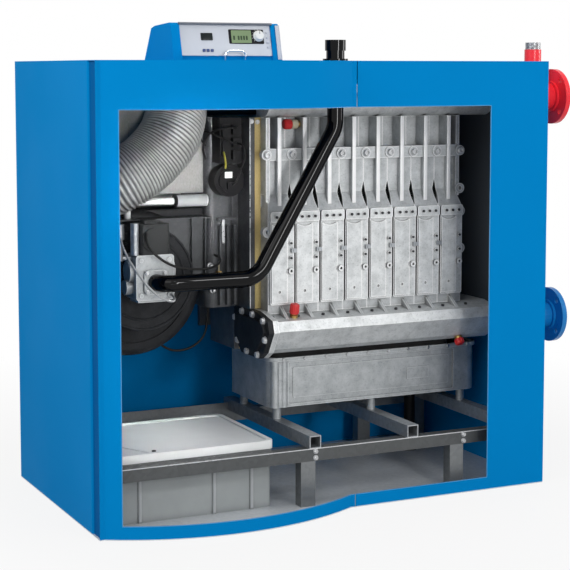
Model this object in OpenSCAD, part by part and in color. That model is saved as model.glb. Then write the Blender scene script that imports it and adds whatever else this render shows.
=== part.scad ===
// Floor-standing condensing gas boiler, cut open at the front to show its works.
// Lengths are millimetres. X runs along the front, Y to the rear and Z up.

/* [Casing] */
// Thickness of the casing sheets
sheet_t = 2; // [1.5:0.5:4]
// Thickness of the base pan
pan_t = 3; // [2:0.5:6]
// Width of the bowed front panel
door_w = 843; // [780:1:900]
// How far the bowed front panel stands out at its middle
door_bow = 110; // [60:1:140]
// Flat margin at both sides of the bowed front panel
door_edge = 15; // [10:1:25]
// Gap between the two front panels
panel_gap = 3; // [2:0.5:6]
// Depth of the recessed strip between a side panel and the front
corner_d = 68; // [50:1:90]
// How far the recessed strip lies behind the side panel
corner_inset = 6; // [5:0.5:10]
// Width of the corner post's flanges
post_w = 40; // [30:1:50]
// Radius of the side panel's rolled front edge
nose_r = 8; // [6:0.5:12]
// Length of the side panel's lip behind its rolled edge
nose_lip = 20; // [12:1:28]
// Side of the square rail behind the top of the front panels
head_rail = 30; // [20:1:40]
// Drop of the head rail below the casing's top
head_rail_drop = 70; // [50:1:90]

/* [Window] */
// Blue band left of the cut-out
window_left = 61; // [50:1:90]
// Blue band right of the cut-out
window_right = 220; // [180:1:260]
// Blue band under the cut-out
window_bottom = 42; // [20:1:60]
// Blue band over the cut-out
window_top = 142; // [120:1:160]

/* [Room inside the casing] */
// Room between the left side and the fan
fan_room = 20; // [12:1:40]
// Room between the heat exchanger and the right side
right_room = 175; // [150:1:220]
// Room over the flow manifold
head_room = 60; // [40:1:90]
// Room behind the flue collector
rear_room = 60; // [40:1:90]
// Thickness of the lining mats on the casing's inside
mat_t = 18; // [10:1:25]

/* [Frame] */
// Side of the square tubes
rail = 40; // [30:1:50]
// Wall of the square tubes
rail_wall = 3; // [2:0.5:5]
// Height of the long rails' underside
rail_z = 147; // [120:1:200]
// How far the front rail laps the corner posts
rail_lap = 8; // [4:1:12]
// Distance of the rear rail's back from the casing's back
rear_rail_gap = 80; // [50:1:110]
// Distance of the outer cross rails' centres from the condensate tray's ends
cross_inset = 42; // [40:1:60]
// Width of the angle legs
leg_w = 50; // [40:1:60]
// Thickness of the angle legs
leg_t = 4; // [3:0.5:8]

/* [Condensate tray] */
// Length of the tray
tray_w = 790; // [760:1:810]
// Depth of the tray
tray_d = 345; // [320:1:360]
// Height of the tray
tray_h = 165; // [140:1:190]
// Wall of the tray
tray_wall = 10; // [6:1:14]
// Corner radius of the tray
tray_r = 40; // [25:1:60]
// Width and height of the tray's rim beyond its wall
tray_rim = 6; // [4:1:12]
// Height of the tray's feet
tray_foot = 43; // [30:1:60]
// Radius of the tray's feet
tray_foot_r = 14; // [10:1:18]
// Depth of the pocket in the tray's front
tray_pocket = 5; // [3:0.5:7]
// Thickness of the seal on the tray
seal_t = 18; // [10:1:25]

/* [Heat exchanger] */
// Distance between the cast sections
section_pitch = 90; // [80:1:100]
// Height of a cast section
section_h = 767; // [740:1:850]
// Depth of a cast section
section_d = 400; // [370:1:430]
// Front plane of the cast sections behind the casing's front
section_y = 250; // [240:1:270]
// How far the upper panels lie behind the front plane
bay_depth = 27; // [20:1:50]
// How far the panels over the boss band lie behind those under it
bay_step = 36; // [15:1:45]
// How far a section's middle rib stands in front of its panels
rib_out = 20; // [12:1:26]
// Width of the middle rib
rib_w = 14; // [10:1:24]
// Width and depth of the groove down the middle rib
rib_groove = 4; // [3:0.5:8]
// Width of the flange along the outer end of the first and last section
end_flange_w = 14; // [10:1:20]
// Height of the sloped shoulder over the covers
shoulder_h = 50; // [40:1:80]
// Height of the boss band across a bay
band_h = 38; // [30:1:50]
// Drop of the boss band's top below the section's top
band_drop = 99; // [80:1:130]
// How far a boss band stands in front of its panels
band_out = 13; // [8:1:20]
// Radius of the bosses on the seams and end ears
boss_r = 17; // [12:1:19]
// How far a seam's boss stands in front of its band
boss_out = 6; // [4:0.5:9]
// Half width of the leaf-shaped slit on a seam
slit_w = 7; // [4:0.5:9]
// Height of the leaf-shaped slit
slit_h = 82; // [60:1:100]
// Depth of the leaf-shaped slit behind the panels
slit_d = 30; // [15:1:40]
// Width of the groove beside a cover's screw strip
strip_groove = 2.4; // [1.5:0.1:4]
// Height of a cleaning cover
cover_h = 300; // [270:1:320]
// Thickness of a cleaning cover's plate
cover_t = 13; // [10:0.5:18]
// Height of the raised panel on a cover
cover_raise = 5; // [3:0.5:7]
// Height of a cover's upper flange
cover_flange = 34; // [26:1:40]
// Share of a cover's width that its raised panel takes
cover_panel = 0.66; // [0.55:0.01:0.72]
// Radius of the hollow curve along the raised panel's top
cover_curve = 48; // [40:1:80]
// Gap between neighbouring covers
cover_gap = 6; // [4:0.5:9]
// Width of a clamp that bridges two covers
clamp_w = 26; // [20:1:32]

/* [Water connections] */
// Depth of the return manifold
manifold_d = 250; // [230:1:270]
// Height of the return manifold
manifold_h = 137; // [125:1:155]
// How far the return manifold stands in front of the sections
manifold_out = 85; // [70:1:95]
// Wall of both manifolds
manifold_wall = 12; // [8:1:16]
// Height of the return pipe's axis over the manifold's underside
return_rise = 60; // [57:1:70]
// Height of the return manifold's underside over the sections' underside
manifold_lift = 12; // [6:1:12]
// Height of the manifold's front ridge over the sections' underside
ridge_rise = 92; // [80:1:100]
// Height of the facet over the manifold's front ridge
facet_h = 31; // [20:1:36]
// Height of a gusset on the return manifold
gusset_h = 27; // [20:1:30]
// Thickness of a gusset
gusset_t = 10; // [6:1:14]
// Outer diameter of the flow manifold
flow_od = 120; // [100:1:140]
// Thickness of the manifold's end flange and of its end cover
end_plate_t = 18; // [12:1:24]
// Outer diameter of the flow and return pipes
pipe_od = 89; // [76:1:95]
// Inside diameter of the flow and return pipes
pipe_id = 80; // [65:1:84]
// Diameter of the connection flanges
flange_od = 190; // [180:1:210]
// Thickness of the connection flanges
flange_t = 18; // [14:1:24]
// Bolt circle of the connection flanges
flange_pcd = 150; // [140:1:160]
// Diameter of a flange's bolt holes
flange_hole = 18; // [14:1:20]
// Distance of the flange faces from the right side
flange_reach = 229; // [200:1:260]
// Distance of the safety branch from the right side
safety_reach = 135; // [110:1:160]
// Height of the safety branch over the casing
safety_rise = 66; // [50:1:80]
// Outer diameter of the safety branch's thread
safety_od = 54; // [48:1:60]
// Height of the safety branch's thread
safety_thread_h = 24; // [18:1:40]

/* [Gas and air] */
// Radius of the fan's volute
fan_r = 235; // [215:1:245]
// Depth of the fan's volute
fan_d = 140; // [120:1:150]
// Front of the fan behind the casing's front
fan_y = 400; // [385:1:410]
// Drop of the fan's axis below the sections' top
fan_drop = 523; // [500:1:550]
// Length of the neck from the fan to the burner hood
outlet_neck = 12; // [8:1:20]
// Width of the burner hood
hood_w = 133; // [125:1:160]
// Thickness of the burner hood's flange
hood_flange = 18; // [10:1:24]
// How far the flange and the board stand in front of the burner hood
hood_flange_out = 80; // [60:1:90]
// Depth of the burner hood
hood_d = 245; // [220:1:250]
// Front of the burner hood behind the casing's front
hood_y = 385; // [375:1:395]
// Thickness of the burner's insulating board
board_t = 22; // [16:1:28]
// Outer diameter of the gas pipe
gas_od = 52; // [42:1:56]
// Centre-line radius of the gas pipe's bends
gas_bend = 90; // [80:1:110]
// Gas pipe's distance behind the casing's front
gas_y = 148; // [140:1:152]
// Gas inlet's distance from the left side
gas_x = 845; // [820:1:870]
// Drop of the gas pipe's upper bend below the casing's top
gas_bend_drop = 209; // [190:1:230]
// Lower bend's distance left of the gas inlet
gas_swing = 272; // [250:1:290]
// Height of the gas inlet over the casing
gas_inlet_h = 66; // [50:1:80]
// Diameter of the gas inlet's socket
gas_socket = 52; // [40:1:54]
// Width of the gas valve's body
valve_w = 124; // [110:1:135]
// Height of the gas valve's body
valve_h = 140; // [130:1:160]
// Depth of the gas valve's body
valve_d = 92; // [80:1:96]
// Height of the gas valve's pipe flange over the fan's axis
valve_rise = 27; // [10:1:40]
// Height of the gas valve's middle over its pipe flange
valve_up = 14; // [4:1:20]
// Drop of the air duct's axis at the rear below the casing's top
duct_drop = 108; // [104:1:140]
// Distance of the air duct's axis at the rear from the left side
duct_x = 415; // [380:1:440]
// Diameter of the air duct over its ridges
duct_od = 194; // [180:1:196]
// Height of the air duct's ridges
duct_ridge = 6; // [3:0.5:8]
// Diameter of the flue spigot
flue_od = 200; // [180:1:220]
// Wall of the flue spigot
flue_wall = 3; // [2:0.5:5]
// Height of the flue spigot's underside over the tray's underside
flue_rise = 60; // [40:1:80]
// Depth of the flue collector
flue_d = 110; // [90:1:130]
// How far the flue spigot stands out of the rear
flue_out = 80; // [60:1:100]
// How far the air collar stands out of the rear
collar_out = 60; // [40:1:75]

/* [Neutraliser] */
// Width of the neutraliser box
box_w = 530; // [480:1:560]
// Depth of the neutraliser box
box_d = 415; // [380:1:450]
// Height of the neutraliser box with its lid
box_h = 213; // [180:1:240]
// Wall of the neutraliser box
box_wall = 5; // [3:0.5:8]
// Height of the neutraliser's lid rim
lid_h = 26; // [20:1:34]
// Depth of the field inside the lid's rim
lid_sink = 5; // [3:0.5:9]

/* [Controller] */
// Width of the controller
control_w = 357; // [320:1:380]
// Height of the controller
control_h = 113; // [95:1:130]
// Depth of the controller's foot
control_d = 250; // [230:1:300]
// Distance of the controller from the left side
control_x = 279; // [260:1:320]
// Distance of the controller behind the front
control_y = 96; // [80:1:120]
// Lean of the controller's face from upright, in degrees
control_lean = 14; // [5:1:25]
// Width of the controller's side cheeks
cheek_w = 28; // [18:1:34]
// How far the cheeks stand in front of the face
cheek_out = 12; // [6:1:18]
// Diameter of the setting knob
knob_d = 34; // [26:1:40]

/* [Hidden] */
$fn = 48;

casing_blue = [0.02, 0.36, 0.72];
galvanised = [0.70, 0.71, 0.72];
cast_alloy = [0.78, 0.79, 0.80];
black_iron = [0.06, 0.06, 0.07];
SECTIONS = 8;
// Room between pieces that seat without a screw
fit = 0.3;
// Room round a pipe that passes through a panel
pass = 8;
// How far the tray and the manifold reach past the sections to the right
tray_shift = 34;
manifold_shift = 96;

// Heights, from the floor up
rail_top = rail_z + rail;
cross_top = rail_top + rail;
tray_z = cross_top + tray_foot;
tray_top = tray_z + tray_h;
works_z = tray_top + seal_t;
ledge_z = works_z + manifold_h;
ridge_z = works_z + ridge_rise;
cover_z = ledge_z + gusset_h + cover_gap / 1.5;
shoulder_z = cover_z + cover_h + cover_gap / 2;
bay_z = shoulder_z + shoulder_h;
section_top = works_z + section_h;
flow_z = section_top + flow_od / 2;
casing_h = flow_z + flow_od / 2 + head_room;
under_top = casing_h - sheet_t;
return_z = works_z + return_rise;
fan_z = section_top - fan_drop;
valve_z = fan_z + valve_rise;

// Lengths, from the left
fan_x = fan_room + fan_r;
hood_x = fan_x + fan_r + outlet_neck;
board_x = hood_x + hood_w;
works_x = board_x + board_t;
works_end = works_x + SECTIONS * section_pitch;
casing_w = works_end + right_room;
flange_x = casing_w + flange_reach;
tray_x = works_x + tray_shift;
manifold_end = works_end + manifold_shift;
window_end = casing_w - window_right;
post_end = corner_inset + post_w;

// Depths, from the front
manifold_y = section_y - manifold_out;
manifold_back = manifold_y + manifold_d;
pipe_y = manifold_y + manifold_d / 2;
works_back = section_y + section_d;
bay_y = section_y + bay_depth;
rib_y = bay_y - rib_out;
band_y = bay_y - band_out;
deep_y = bay_y + bay_step;
tray_y = works_back - tray_d;
flue_back = works_back + fit + flue_d;
casing_d = flue_back + rear_room;
front_rail_y = corner_d - rail_lap;
rear_rail_y = casing_d - rear_rail_gap - rail;
bow_r = (pow(door_w / 2 - door_edge, 2) + pow(door_bow, 2)) / (2 * door_bow);
rear_reach = casing_d + flue_out;

// Puts the origin under the middle of the whole boiler
module place() {
    translate([-flange_x / 2, (door_bow - rear_reach) / 2, 0]) children();
}

// Rectangle with round corners, drawn from its lower left corner
module rounded_rect(w, h, r) {
    translate([r, 0]) square([w - 2 * r, h]);
    translate([0, r]) square([w, h - 2 * r]);
    for (x = [r, w - r], y = [r, h - r])
        translate([x, y]) circle(r);
}

// Stands an XZ outline up and gives it depth towards the rear
module upright(depth) {
    translate([0, depth, 0]) rotate([90, 0, 0]) linear_extrude(depth) children();
}

// Carries a YZ outline along X
module along_x(length) {
    rotate([90, 0, 90]) linear_extrude(length) children();
}

// Round bar along Y from its front end
module rod_y(radius, length) {
    rotate([-90, 0, 0]) cylinder(r = radius, h = length);
}

// Round bar along X from its left end
module rod_x(radius, length) {
    rotate([0, 90, 0]) cylinder(r = radius, h = length);
}

// Square tube along X
module tube_x(length) {
    difference() {
        cube([length, rail, rail]);
        translate([-1, rail_wall, rail_wall])
            cube([length + 2, rail - 2 * rail_wall, rail - 2 * rail_wall]);
    }
}

function unit(v) = v / norm(v);

// Points along a line of straight runs, with an arc of a given radius at each corner
function rounded_path(corners, bend, steps) = concat(
    [corners[0]],
    [for (i = [1 : len(corners) - 2])
        let (into = unit(corners[i] - corners[i - 1]),
             out = unit(corners[i + 1] - corners[i]),
             turn = acos(into * out),
             aside = unit(out - (out * into) * into),
             start = corners[i] - into * bend * tan(turn / 2))
        for (s = [0 : steps])
            let (a = turn * s / steps)
            start + bend * (into * sin(a) + aside * (1 - cos(a)))],
    [corners[len(corners) - 1]]);

// Round tube through a list of centres, with a radius at each of them
module swept_tube(centres, radii, sides) {
    last = len(centres) - 1;
    aside = [1, 0.2, -0.6];
    rings = [for (i = [0 : last])
        let (along = unit(unit(centres[min(i + 1, last)] - centres[min(i, last - 1)])
                          + unit(centres[max(i, 1)] - centres[max(i - 1, 0)])),
             across = unit(cross(along, aside)),
             over = cross(along, across))
        for (j = [0 : sides - 1])
            centres[i] + radii[i] * (across * cos(360 * j / sides) + over * sin(360 * j / sides))];
    walls = [for (i = [0 : last - 1], j = [0 : sides - 1])
        let (k = (j + 1) % sides)
        [i * sides + j, i * sides + k, (i + 1) * sides + k, (i + 1) * sides + j]];
    polyhedron(rings, concat(walls,
        [[for (j = [sides - 1 : -1 : 0]) j]], [[for (j = [0 : sides - 1]) last * sides + j]]));
}

// Casing

// Floor of the casing, with the bow under the left front panel
module base_pan() color(galvanised) place() {
    cube([casing_w, casing_d, pan_t]);
    linear_extrude(pan_t) bow_segment(bow_r);
}

// Plan of a side panel with its rolled front edge
module side_plan() {
    translate([0, corner_d + nose_r]) square([sheet_t, casing_d - corner_d - nose_r]);
    translate([nose_r, corner_d + nose_r]) intersection() {
        difference() {
            circle(nose_r);
            circle(nose_r - sheet_t);
        }
        translate([-nose_r, -nose_r]) square(nose_r);
    }
    translate([nose_r, corner_d]) square([nose_lip, sheet_t]);
}

module side_sheet() {
    translate([0, 0, pan_t]) linear_extrude(under_top - pan_t) side_plan();
}

module left_side_panel() color(casing_blue) place()
    side_sheet();

module right_side_panel() color(casing_blue) place() {
    difference() {
        translate([casing_w, 0, 0]) mirror([1, 0, 0]) side_sheet();
        for (z = [flow_z, return_z])
            translate([casing_w - 2 * sheet_t, pipe_y, z])
                rod_x(pipe_od / 2 + pass, 4 * sheet_t);
    }
}

flue_x = works_x + SECTIONS * section_pitch * 0.6;
flue_z = tray_z + flue_od / 2 + flue_rise;
duct_z = casing_h - duct_drop;

module rear_panel() color(casing_blue) place() {
    difference() {
        translate([sheet_t, casing_d - sheet_t, pan_t])
            cube([casing_w - 2 * sheet_t, sheet_t, under_top - pan_t]);
        translate([flue_x, casing_d - 2 * sheet_t, flue_z])
            rod_y(flue_od / 2 - pan_t + fit, 4 * sheet_t);
        translate([duct_x, casing_d - 2 * sheet_t, duct_z])
            rod_y(duct_od / 2 - pan_t + fit, 4 * sheet_t);
    }
}

gas_neck = gas_socket / 2 + 3;

module top_panel() color(casing_blue) place() {
    difference() {
        translate([0, sheet_t, under_top]) cube([casing_w, casing_d - sheet_t, sheet_t]);
        translate([gas_x, gas_y, under_top - 1]) cylinder(r = gas_neck + fit, h = sheet_t + 2);
    }
}

// Opening through both front panels
module window_cut() {
    translate([window_left, -2 * door_bow, window_bottom])
        cube([window_end - window_left, 3 * door_bow, casing_h - window_top - window_bottom]);
}

// Part of a disc about the bow's centre that lies in front of the casing
module bow_segment(radius) {
    intersection() {
        translate([door_w / 2, bow_r - door_bow]) circle(radius, $fn = 240);
        translate([door_edge, -2 * door_bow])
            square([door_w - 2 * door_edge, 2 * door_bow + sheet_t]);
    }
}

// Plan of the bowed panel, whose flat margins run a little into the bow
module door_plan() {
    difference() {
        bow_segment(bow_r);
        translate([door_w / 2, bow_r - door_bow]) circle(bow_r - sheet_t, $fn = 240);
    }
    for (x = [0, door_w - door_edge - 1])
        translate([x, 0]) square([door_edge + 1, sheet_t]);
}

module front_panel_left() color(casing_blue) place() {
    difference() {
        translate([0, 0, pan_t]) linear_extrude(casing_h - pan_t) door_plan();
        window_cut();
    }
    translate([0, 0, under_top]) linear_extrude(sheet_t) bow_segment(bow_r - sheet_t / 2);
}

module front_panel_right() color(casing_blue) place() {
    start = door_w + panel_gap;
    difference() {
        translate([start, 0, pan_t]) cube([casing_w - start, sheet_t, casing_h - pan_t]);
        window_cut();
    }
}

// Channel section of the left corner post
module post_plan() {
    translate([corner_inset, sheet_t]) square([sheet_t, corner_d - sheet_t]);
    for (y = [sheet_t, corner_d - sheet_t])
        translate([corner_inset, y]) square([post_w, sheet_t]);
}

module post() {
    translate([0, 0, pan_t]) linear_extrude(under_top - pan_t) post_plan();
}

module corner_posts() color(casing_blue * 0.8) place() {
    post();
    translate([casing_w, 0, 0]) mirror([1, 0, 0]) post();
}

module head_rail_bar() color(galvanised) place() {
    translate([post_end, sheet_t, casing_h - head_rail_drop - head_rail])
        cube([casing_w - 2 * post_end, head_rail, head_rail]);
}

// Frame

module front_rail() color(galvanised) place()
    translate([post_end, front_rail_y, rail_z]) tube_x(casing_w - 2 * post_end);

module rear_rail() color(galvanised) place()
    translate([post_end, rear_rail_y, rail_z]) tube_x(casing_w - 2 * post_end);

// Cross rails under the tray's feet
cross_x = [tray_x + cross_inset, tray_x + tray_w / 2, tray_x + tray_w - cross_inset];

module cross_rails() color(galvanised) place()
    for (x = cross_x)
        translate([x + rail / 2, front_rail_y, rail_top])
            rotate([0, 0, 90]) tube_x(rear_rail_y + rail - front_rail_y);

middle_legs = [cross_x[0] - leg_w, works_end - 3 * leg_w];
rear_legs = concat([post_end], middle_legs, [casing_w - post_end - leg_w]);

// Angle leg between the base pan and a long rail
module leg() {
    linear_extrude(rail_z - pan_t) {
        square([leg_w, leg_t]);
        square([leg_t, rail]);
    }
}

module frame_legs() color(galvanised) place() {
    for (x = middle_legs)
        translate([x, front_rail_y, pan_t]) leg();
    for (x = rear_legs)
        translate([x, rear_rail_y, pan_t]) leg();
}

// Condensate tray

tray_foot_y = [tray_y + tray_r, works_back - tray_r];
tray_panel_x = 1.65 * tray_r;
tray_panel_w = tray_w - 4 * tray_r;

// Outline of the recessed panel on the tray's front, moved in by a margin
module tray_panel(margin) {
    translate([margin, margin])
        rounded_rect(tray_panel_w - 2 * margin, tray_h - tray_wall - 3 * tray_rim - 2 * margin, 6);
}

module condensate_tray() color(cast_alloy * 0.85) place() {
    difference() {
        union() {
            translate([tray_x, tray_y, tray_z])
                linear_extrude(tray_h) rounded_rect(tray_w, tray_d, tray_r);
            translate([tray_x - tray_rim, tray_y - tray_rim, tray_top - 2 * tray_rim])
                linear_extrude(2 * tray_rim)
                    rounded_rect(tray_w + 2 * tray_rim, tray_d + tray_rim, tray_r);
        }
        translate([tray_x + tray_wall, tray_y + tray_wall, tray_z + tray_wall])
            linear_extrude(tray_h)
                rounded_rect(tray_w - 2 * tray_wall, tray_d - 2 * tray_wall, tray_r - tray_wall);
        translate([tray_x + tray_panel_x, tray_y - 1, tray_z + tray_wall])
            upright(tray_pocket + 1) tray_panel(0);
    }
    translate([tray_x + tray_panel_x, tray_y + tray_pocket / 2, tray_z + tray_wall])
        upright(tray_wall - tray_pocket / 2) tray_panel(3 * tray_rim);
    translate([tray_x + tray_panel_x + 0.71 * tray_panel_w, tray_y, tray_z + tray_h / 3])
        upright(tray_wall) rounded_rect(84, 40, 3);
    for (x = cross_x, y = tray_foot_y)
        translate([x, y, cross_top]) cylinder(r = tray_foot_r, h = tray_foot);
    for (x = [tray_x + tray_r / 2, tray_x + tray_panel_x - tray_foot_r])
        translate([x, tray_y + tray_foot_r - tray_pocket, tray_z])
            cylinder(r = tray_foot_r, h = tray_h - 2 * tray_rim);
}

module tray_seal() color(black_iron) place()
    translate([tray_x + tray_wall, tray_y + tray_wall / 2, tray_top])
        linear_extrude(seal_t)
            rounded_rect(works_end - tray_x - tray_wall, tray_d - tray_wall, tray_r - tray_wall);

// Drain pipe from the tray's floor to the base pan, beside the last cross rail
module condensate_drain() color(black_iron) place() {
    pipe_r = 20;
    collar_h = 16;
    translate([cross_x[2] - rail - pipe_r, works_back - tray_r - pipe_r, pan_t]) {
        cylinder(r = pipe_r, h = tray_z - pan_t);
        translate([0, 0, tray_z - pan_t - collar_h]) cylinder(r = pipe_r + 7, h = collar_h);
        cylinder(r = pipe_r + 7, h = collar_h);
    }
}

// Heat exchanger

// Shoulder's height at a distance behind the front plane
function shoulder_at(y) = shoulder_z + (y - section_y) / bay_depth * shoulder_h;

// Side outline of a section: foot behind the manifold, covered front, shoulder and bay
section_outline = [
    [section_y, ledge_z + fit], [section_y, shoulder_z], [bay_y, bay_z], [bay_y, section_top],
    [works_back, section_top], [works_back, works_z], [manifold_back + fit, works_z],
    [manifold_back + fit, ledge_z + fit]];

rib_outline = [
    [bay_y + 1, section_top], [rib_y, section_top], [rib_y, shoulder_at(rib_y)], [bay_y + 1, bay_z]];

// Leaf with pointed ends, half as wide at a quarter of its height
module leaf(half_w, height) {
    steps = 12;
    polygon([for (i = [0 : 2 * steps - 1])
        let (t = i < steps ? i / steps : 2 - i / steps)
        [(i < steps ? 1 : -1) * half_w * sin(180 * t), height * t]]);
}

// Boss with a tapped hole, seen from the front
module boss(radius, depth) {
    difference() {
        rod_y(radius, depth);
        translate([0, -1, 0]) rod_y(radius * 0.4, depth * 0.6 + 1);
    }
}

band_z = section_top - band_drop - band_h;
section_w = section_pitch - fit;

// Grooved rib down the middle of a section
module middle_rib() {
    groove_x = (rib_w - rib_groove) / 2;
    difference() {
        along_x(rib_w) polygon(rib_outline);
        translate([groove_x, rib_y - 1, shoulder_z])
            cube([rib_groove, rib_groove / 2 + 1, section_top - shoulder_z + 1]);
    }
}

// Recess of the upper panels on both sides of the middle rib
module upper_recess() {
    side_w = (section_w - rib_w) / 2;
    for (x = [-1, section_w - side_w])
        translate([x, section_y, band_z + band_h])
            cube([side_w + 1, deep_y - section_y, section_h]);
}

// Boss on the right-hand seam, carried by this section and lying over the next one's band
module seam_boss() {
    back = boss_out - fit;
    translate([section_w, band_y - boss_out, band_z + band_h / 2]) {
        boss(boss_r, back);
        translate([-boss_r * 0.9, back / 2, -boss_r / 2]) cube([boss_r * 0.9, boss_out, boss_r]);
    }
}

module section(index) color(cast_alloy) place() {
    translate([works_x + (index - 1) * section_pitch, 0, 0]) {
        difference() {
            union() {
                along_x(section_w) polygon(section_outline);
                translate([0, band_y, band_z]) cube([section_w, band_out + 1, band_h]);
            }
            upper_recess();
            for (x = [0, section_w])
                translate([x, section_y - 1, shoulder_z])
                    upright(bay_depth + slit_d) leaf(slit_w, slit_h);
        }
        translate([(section_w - rib_w) / 2, 0, 0]) middle_rib();
        if (index < SECTIONS) seam_boss();
        if (index == 1) end_flange(0, [band_z + band_h / 2, cover_z + 0.78 * cover_h]);
        if (index == SECTIONS)
            end_flange(section_w - end_flange_w,
                       [band_z + band_h / 2, bay_z, cover_z + 0.92 * cover_h, cover_z + cover_h / 2]);
    }
}

// Flange along an end section's outer side, with tie-rod ears at given heights
module end_flange(x, heights) {
    outer = x > 0 ? x + end_flange_w : x;
    difference() {
        translate([x, 0, 0]) along_x(end_flange_w) polygon([
            [deep_y + 1, section_top], [band_y, section_top], [band_y, shoulder_at(band_y)],
            [bay_y + 1, bay_z - 1], [deep_y + 1, bay_z - 1]]);
        translate([x + end_flange_w / 2 - rib_groove / 2, band_y - 1, band_z + band_h + rib_groove])
            cube([rib_groove, rib_groove, band_drop - 2 * rib_groove]);
    }
    for (z = heights)
        translate([outer, z > shoulder_z ? rib_y : section_y + 1, z]) boss(boss_r, rib_out);
}

// Outline of a cover's raised panel, hollow along its top
module cover_panel_plan(width) {
    panel_w = cover_panel * width;
    panel_h = cover_h - cover_flange - 2 * cover_gap;
    difference() {
        translate([cover_gap / 2, cover_gap]) rounded_rect(panel_w, panel_h, cover_gap / 2);
        translate([cover_gap / 2 + panel_w / 2, cover_gap + panel_h + cover_curve * 0.84])
            circle(cover_curve);
    }
}

// Groove between a cover's raised panel and its screw strip, bowed round the strip's big boss
module strip_groove_plan(width, strip_x) {
    edge_x = cover_gap / 2 + cover_panel * width;
    difference() {
        union() {
            translate([edge_x, cover_gap]) square([strip_groove, cover_h - cover_flange - 2 * cover_gap]);
            intersection() {
                translate([strip_x, 0.36 * cover_h]) circle(0.2 * width);
                square([edge_x + strip_groove, cover_h]);
            }
        }
        translate([strip_x, 0.36 * cover_h]) circle(0.2 * width - strip_groove);
    }
}

// Front of one cover: plate, upper flange, raised panel and a strip with screw bosses
module cover() {
    width = section_pitch - cover_gap;
    strip_x = (1 + cover_panel) / 2 * width + cover_gap / 4;
    screw_r = 0.07 * width;
    difference() {
        union() {
            upright(cover_t) rounded_rect(width, cover_h, cover_gap);
            translate([0, -cover_raise, 0]) upright(cover_raise + 1) cover_panel_plan(width);
            translate([0, -cover_raise, cover_h - cover_flange])
                upright(cover_raise + 1) rounded_rect(width, cover_flange, cover_gap);
            translate([strip_x, -cover_raise - 3, 0.36 * cover_h]) rod_y(0.115 * width, cover_raise + 4);
            for (z = [0.5, 0.66])
                translate([strip_x, -cover_raise, z * cover_h]) rod_y(screw_r, cover_raise + 1);
            for (x = [0.22, 0.5, 0.78])
                translate([x * width, -cover_raise - 3, cover_h - cover_flange / 2])
                    rod_y(screw_r, cover_raise);
        }
        translate([0.36 * width, -cover_raise - 1, 0.14 * cover_h]) rod_y(screw_r * 0.8, cover_raise);
        translate([0, -cover_raise - 1, 0]) upright(cover_raise + 1 + strip_groove)
            strip_groove_plan(width, strip_x);
        translate([strip_x, -cover_raise - 4, 0.36 * cover_h]) rod_y(0.05 * width, cover_raise + 4);
    }
}

module cleaning_covers() color(cast_alloy * 1.08) place()
    for (i = [0 : SECTIONS - 1])
        translate([works_x + i * section_pitch + cover_gap / 2, section_y - cover_t, cover_z])
            cover();

module cover_clamps() color(galvanised) place()
    for (i = [1 : SECTIONS - 1])
        translate([works_x + i * section_pitch - 0.58 * clamp_w, section_y - cover_t - clamp_foot,
                   cover_z + 0.58 * cover_h - clamp_w / 4])
            clamp();

clamp_foot = cover_raise + 3;

// Small bridge with a raised middle across a seam
module clamp() {
    cube([0.75 * clamp_w, clamp_foot, clamp_w / 2]);
    translate([0.2 * clamp_w, -3, clamp_w / 8]) cube([0.35 * clamp_w, 4, clamp_w / 4]);
}

// Side outline of the return manifold, two facets about a front ridge, moved in by a margin
manifold_low = works_z + manifold_lift;
facet_in = 13;
// How far the end flange and cover stand out round the manifold, clear of the hood over them
end_lap = gusset_h / 2 - 1.5;

function manifold_outline(m) = [
    [manifold_y + 0.3 * manifold_d + m / 2, manifold_low + m],
    [manifold_back - 0.2 * manifold_d - m / 2, manifold_low + m],
    [manifold_back - m, manifold_low + 0.3 * manifold_h + m / 2],
    [manifold_back - m, ledge_z - m],
    [section_y - 2 * fit - m / 2, ledge_z - m],
    [manifold_y + facet_in + m, ridge_z + facet_h - m / 2],
    [manifold_y + m, ridge_z],
    [manifold_y + 0.18 * manifold_d + m, manifold_low + 0.12 * manifold_h + m / 2]];

gusset_outline = [
    [section_y - fit, ledge_z - 8], [section_y - fit, ledge_z + gusset_h],
    [manifold_y + 2 * facet_in, ridge_z + facet_h + 1], [manifold_y + 2 * facet_in, ridge_z + facet_h - 8]];

module return_manifold() color(cast_alloy) place() {
    difference() {
        union() {
            translate([board_x, 0, 0])
                along_x(manifold_end - board_x) polygon(manifold_outline(0));
            translate([board_x, 0, 0]) along_x(end_plate_t) polygon(manifold_outline(-end_lap));
        }
        translate([board_x + end_plate_t, 0, 0])
            along_x(manifold_end - board_x - 2 * end_plate_t)
                polygon(manifold_outline(manifold_wall));
    }
    for (i = [0 : SECTIONS - 1])
        translate([works_x + (i + 0.5) * section_pitch - gusset_t / 2, 0, 0])
            along_x(gusset_t) polygon(gusset_outline);
}

module manifold_end_cover() color(black_iron) place() {
    translate([board_x - end_plate_t, 0, 0]) along_x(end_plate_t) polygon(manifold_outline(-end_lap));
    translate([board_x - 1.5 * end_plate_t, 0, 0])
        along_x(end_plate_t) polygon(manifold_outline(end_lap));
}

flow_end = casing_w - 62;
// How far the flow manifold's foot reaches behind the panels
flow_foot = 60;

module flow_manifold() color(cast_alloy) place() {
    difference() {
        union() {
            translate([works_x, pipe_y, flow_z]) rod_x(flow_od / 2, flow_end - works_x);
            translate([works_x, pipe_y, section_top])
                cube([works_end - works_x, bay_y + flow_foot - pipe_y, 0.4 * flow_od]);
        }
        translate([works_x + manifold_wall, pipe_y, flow_z]) {
            rod_x(flow_od / 2 - manifold_wall, flow_end - works_x - 2 * manifold_wall);
            rod_x(pipe_id / 2, flow_end - works_x);
        }
    }
}

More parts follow.
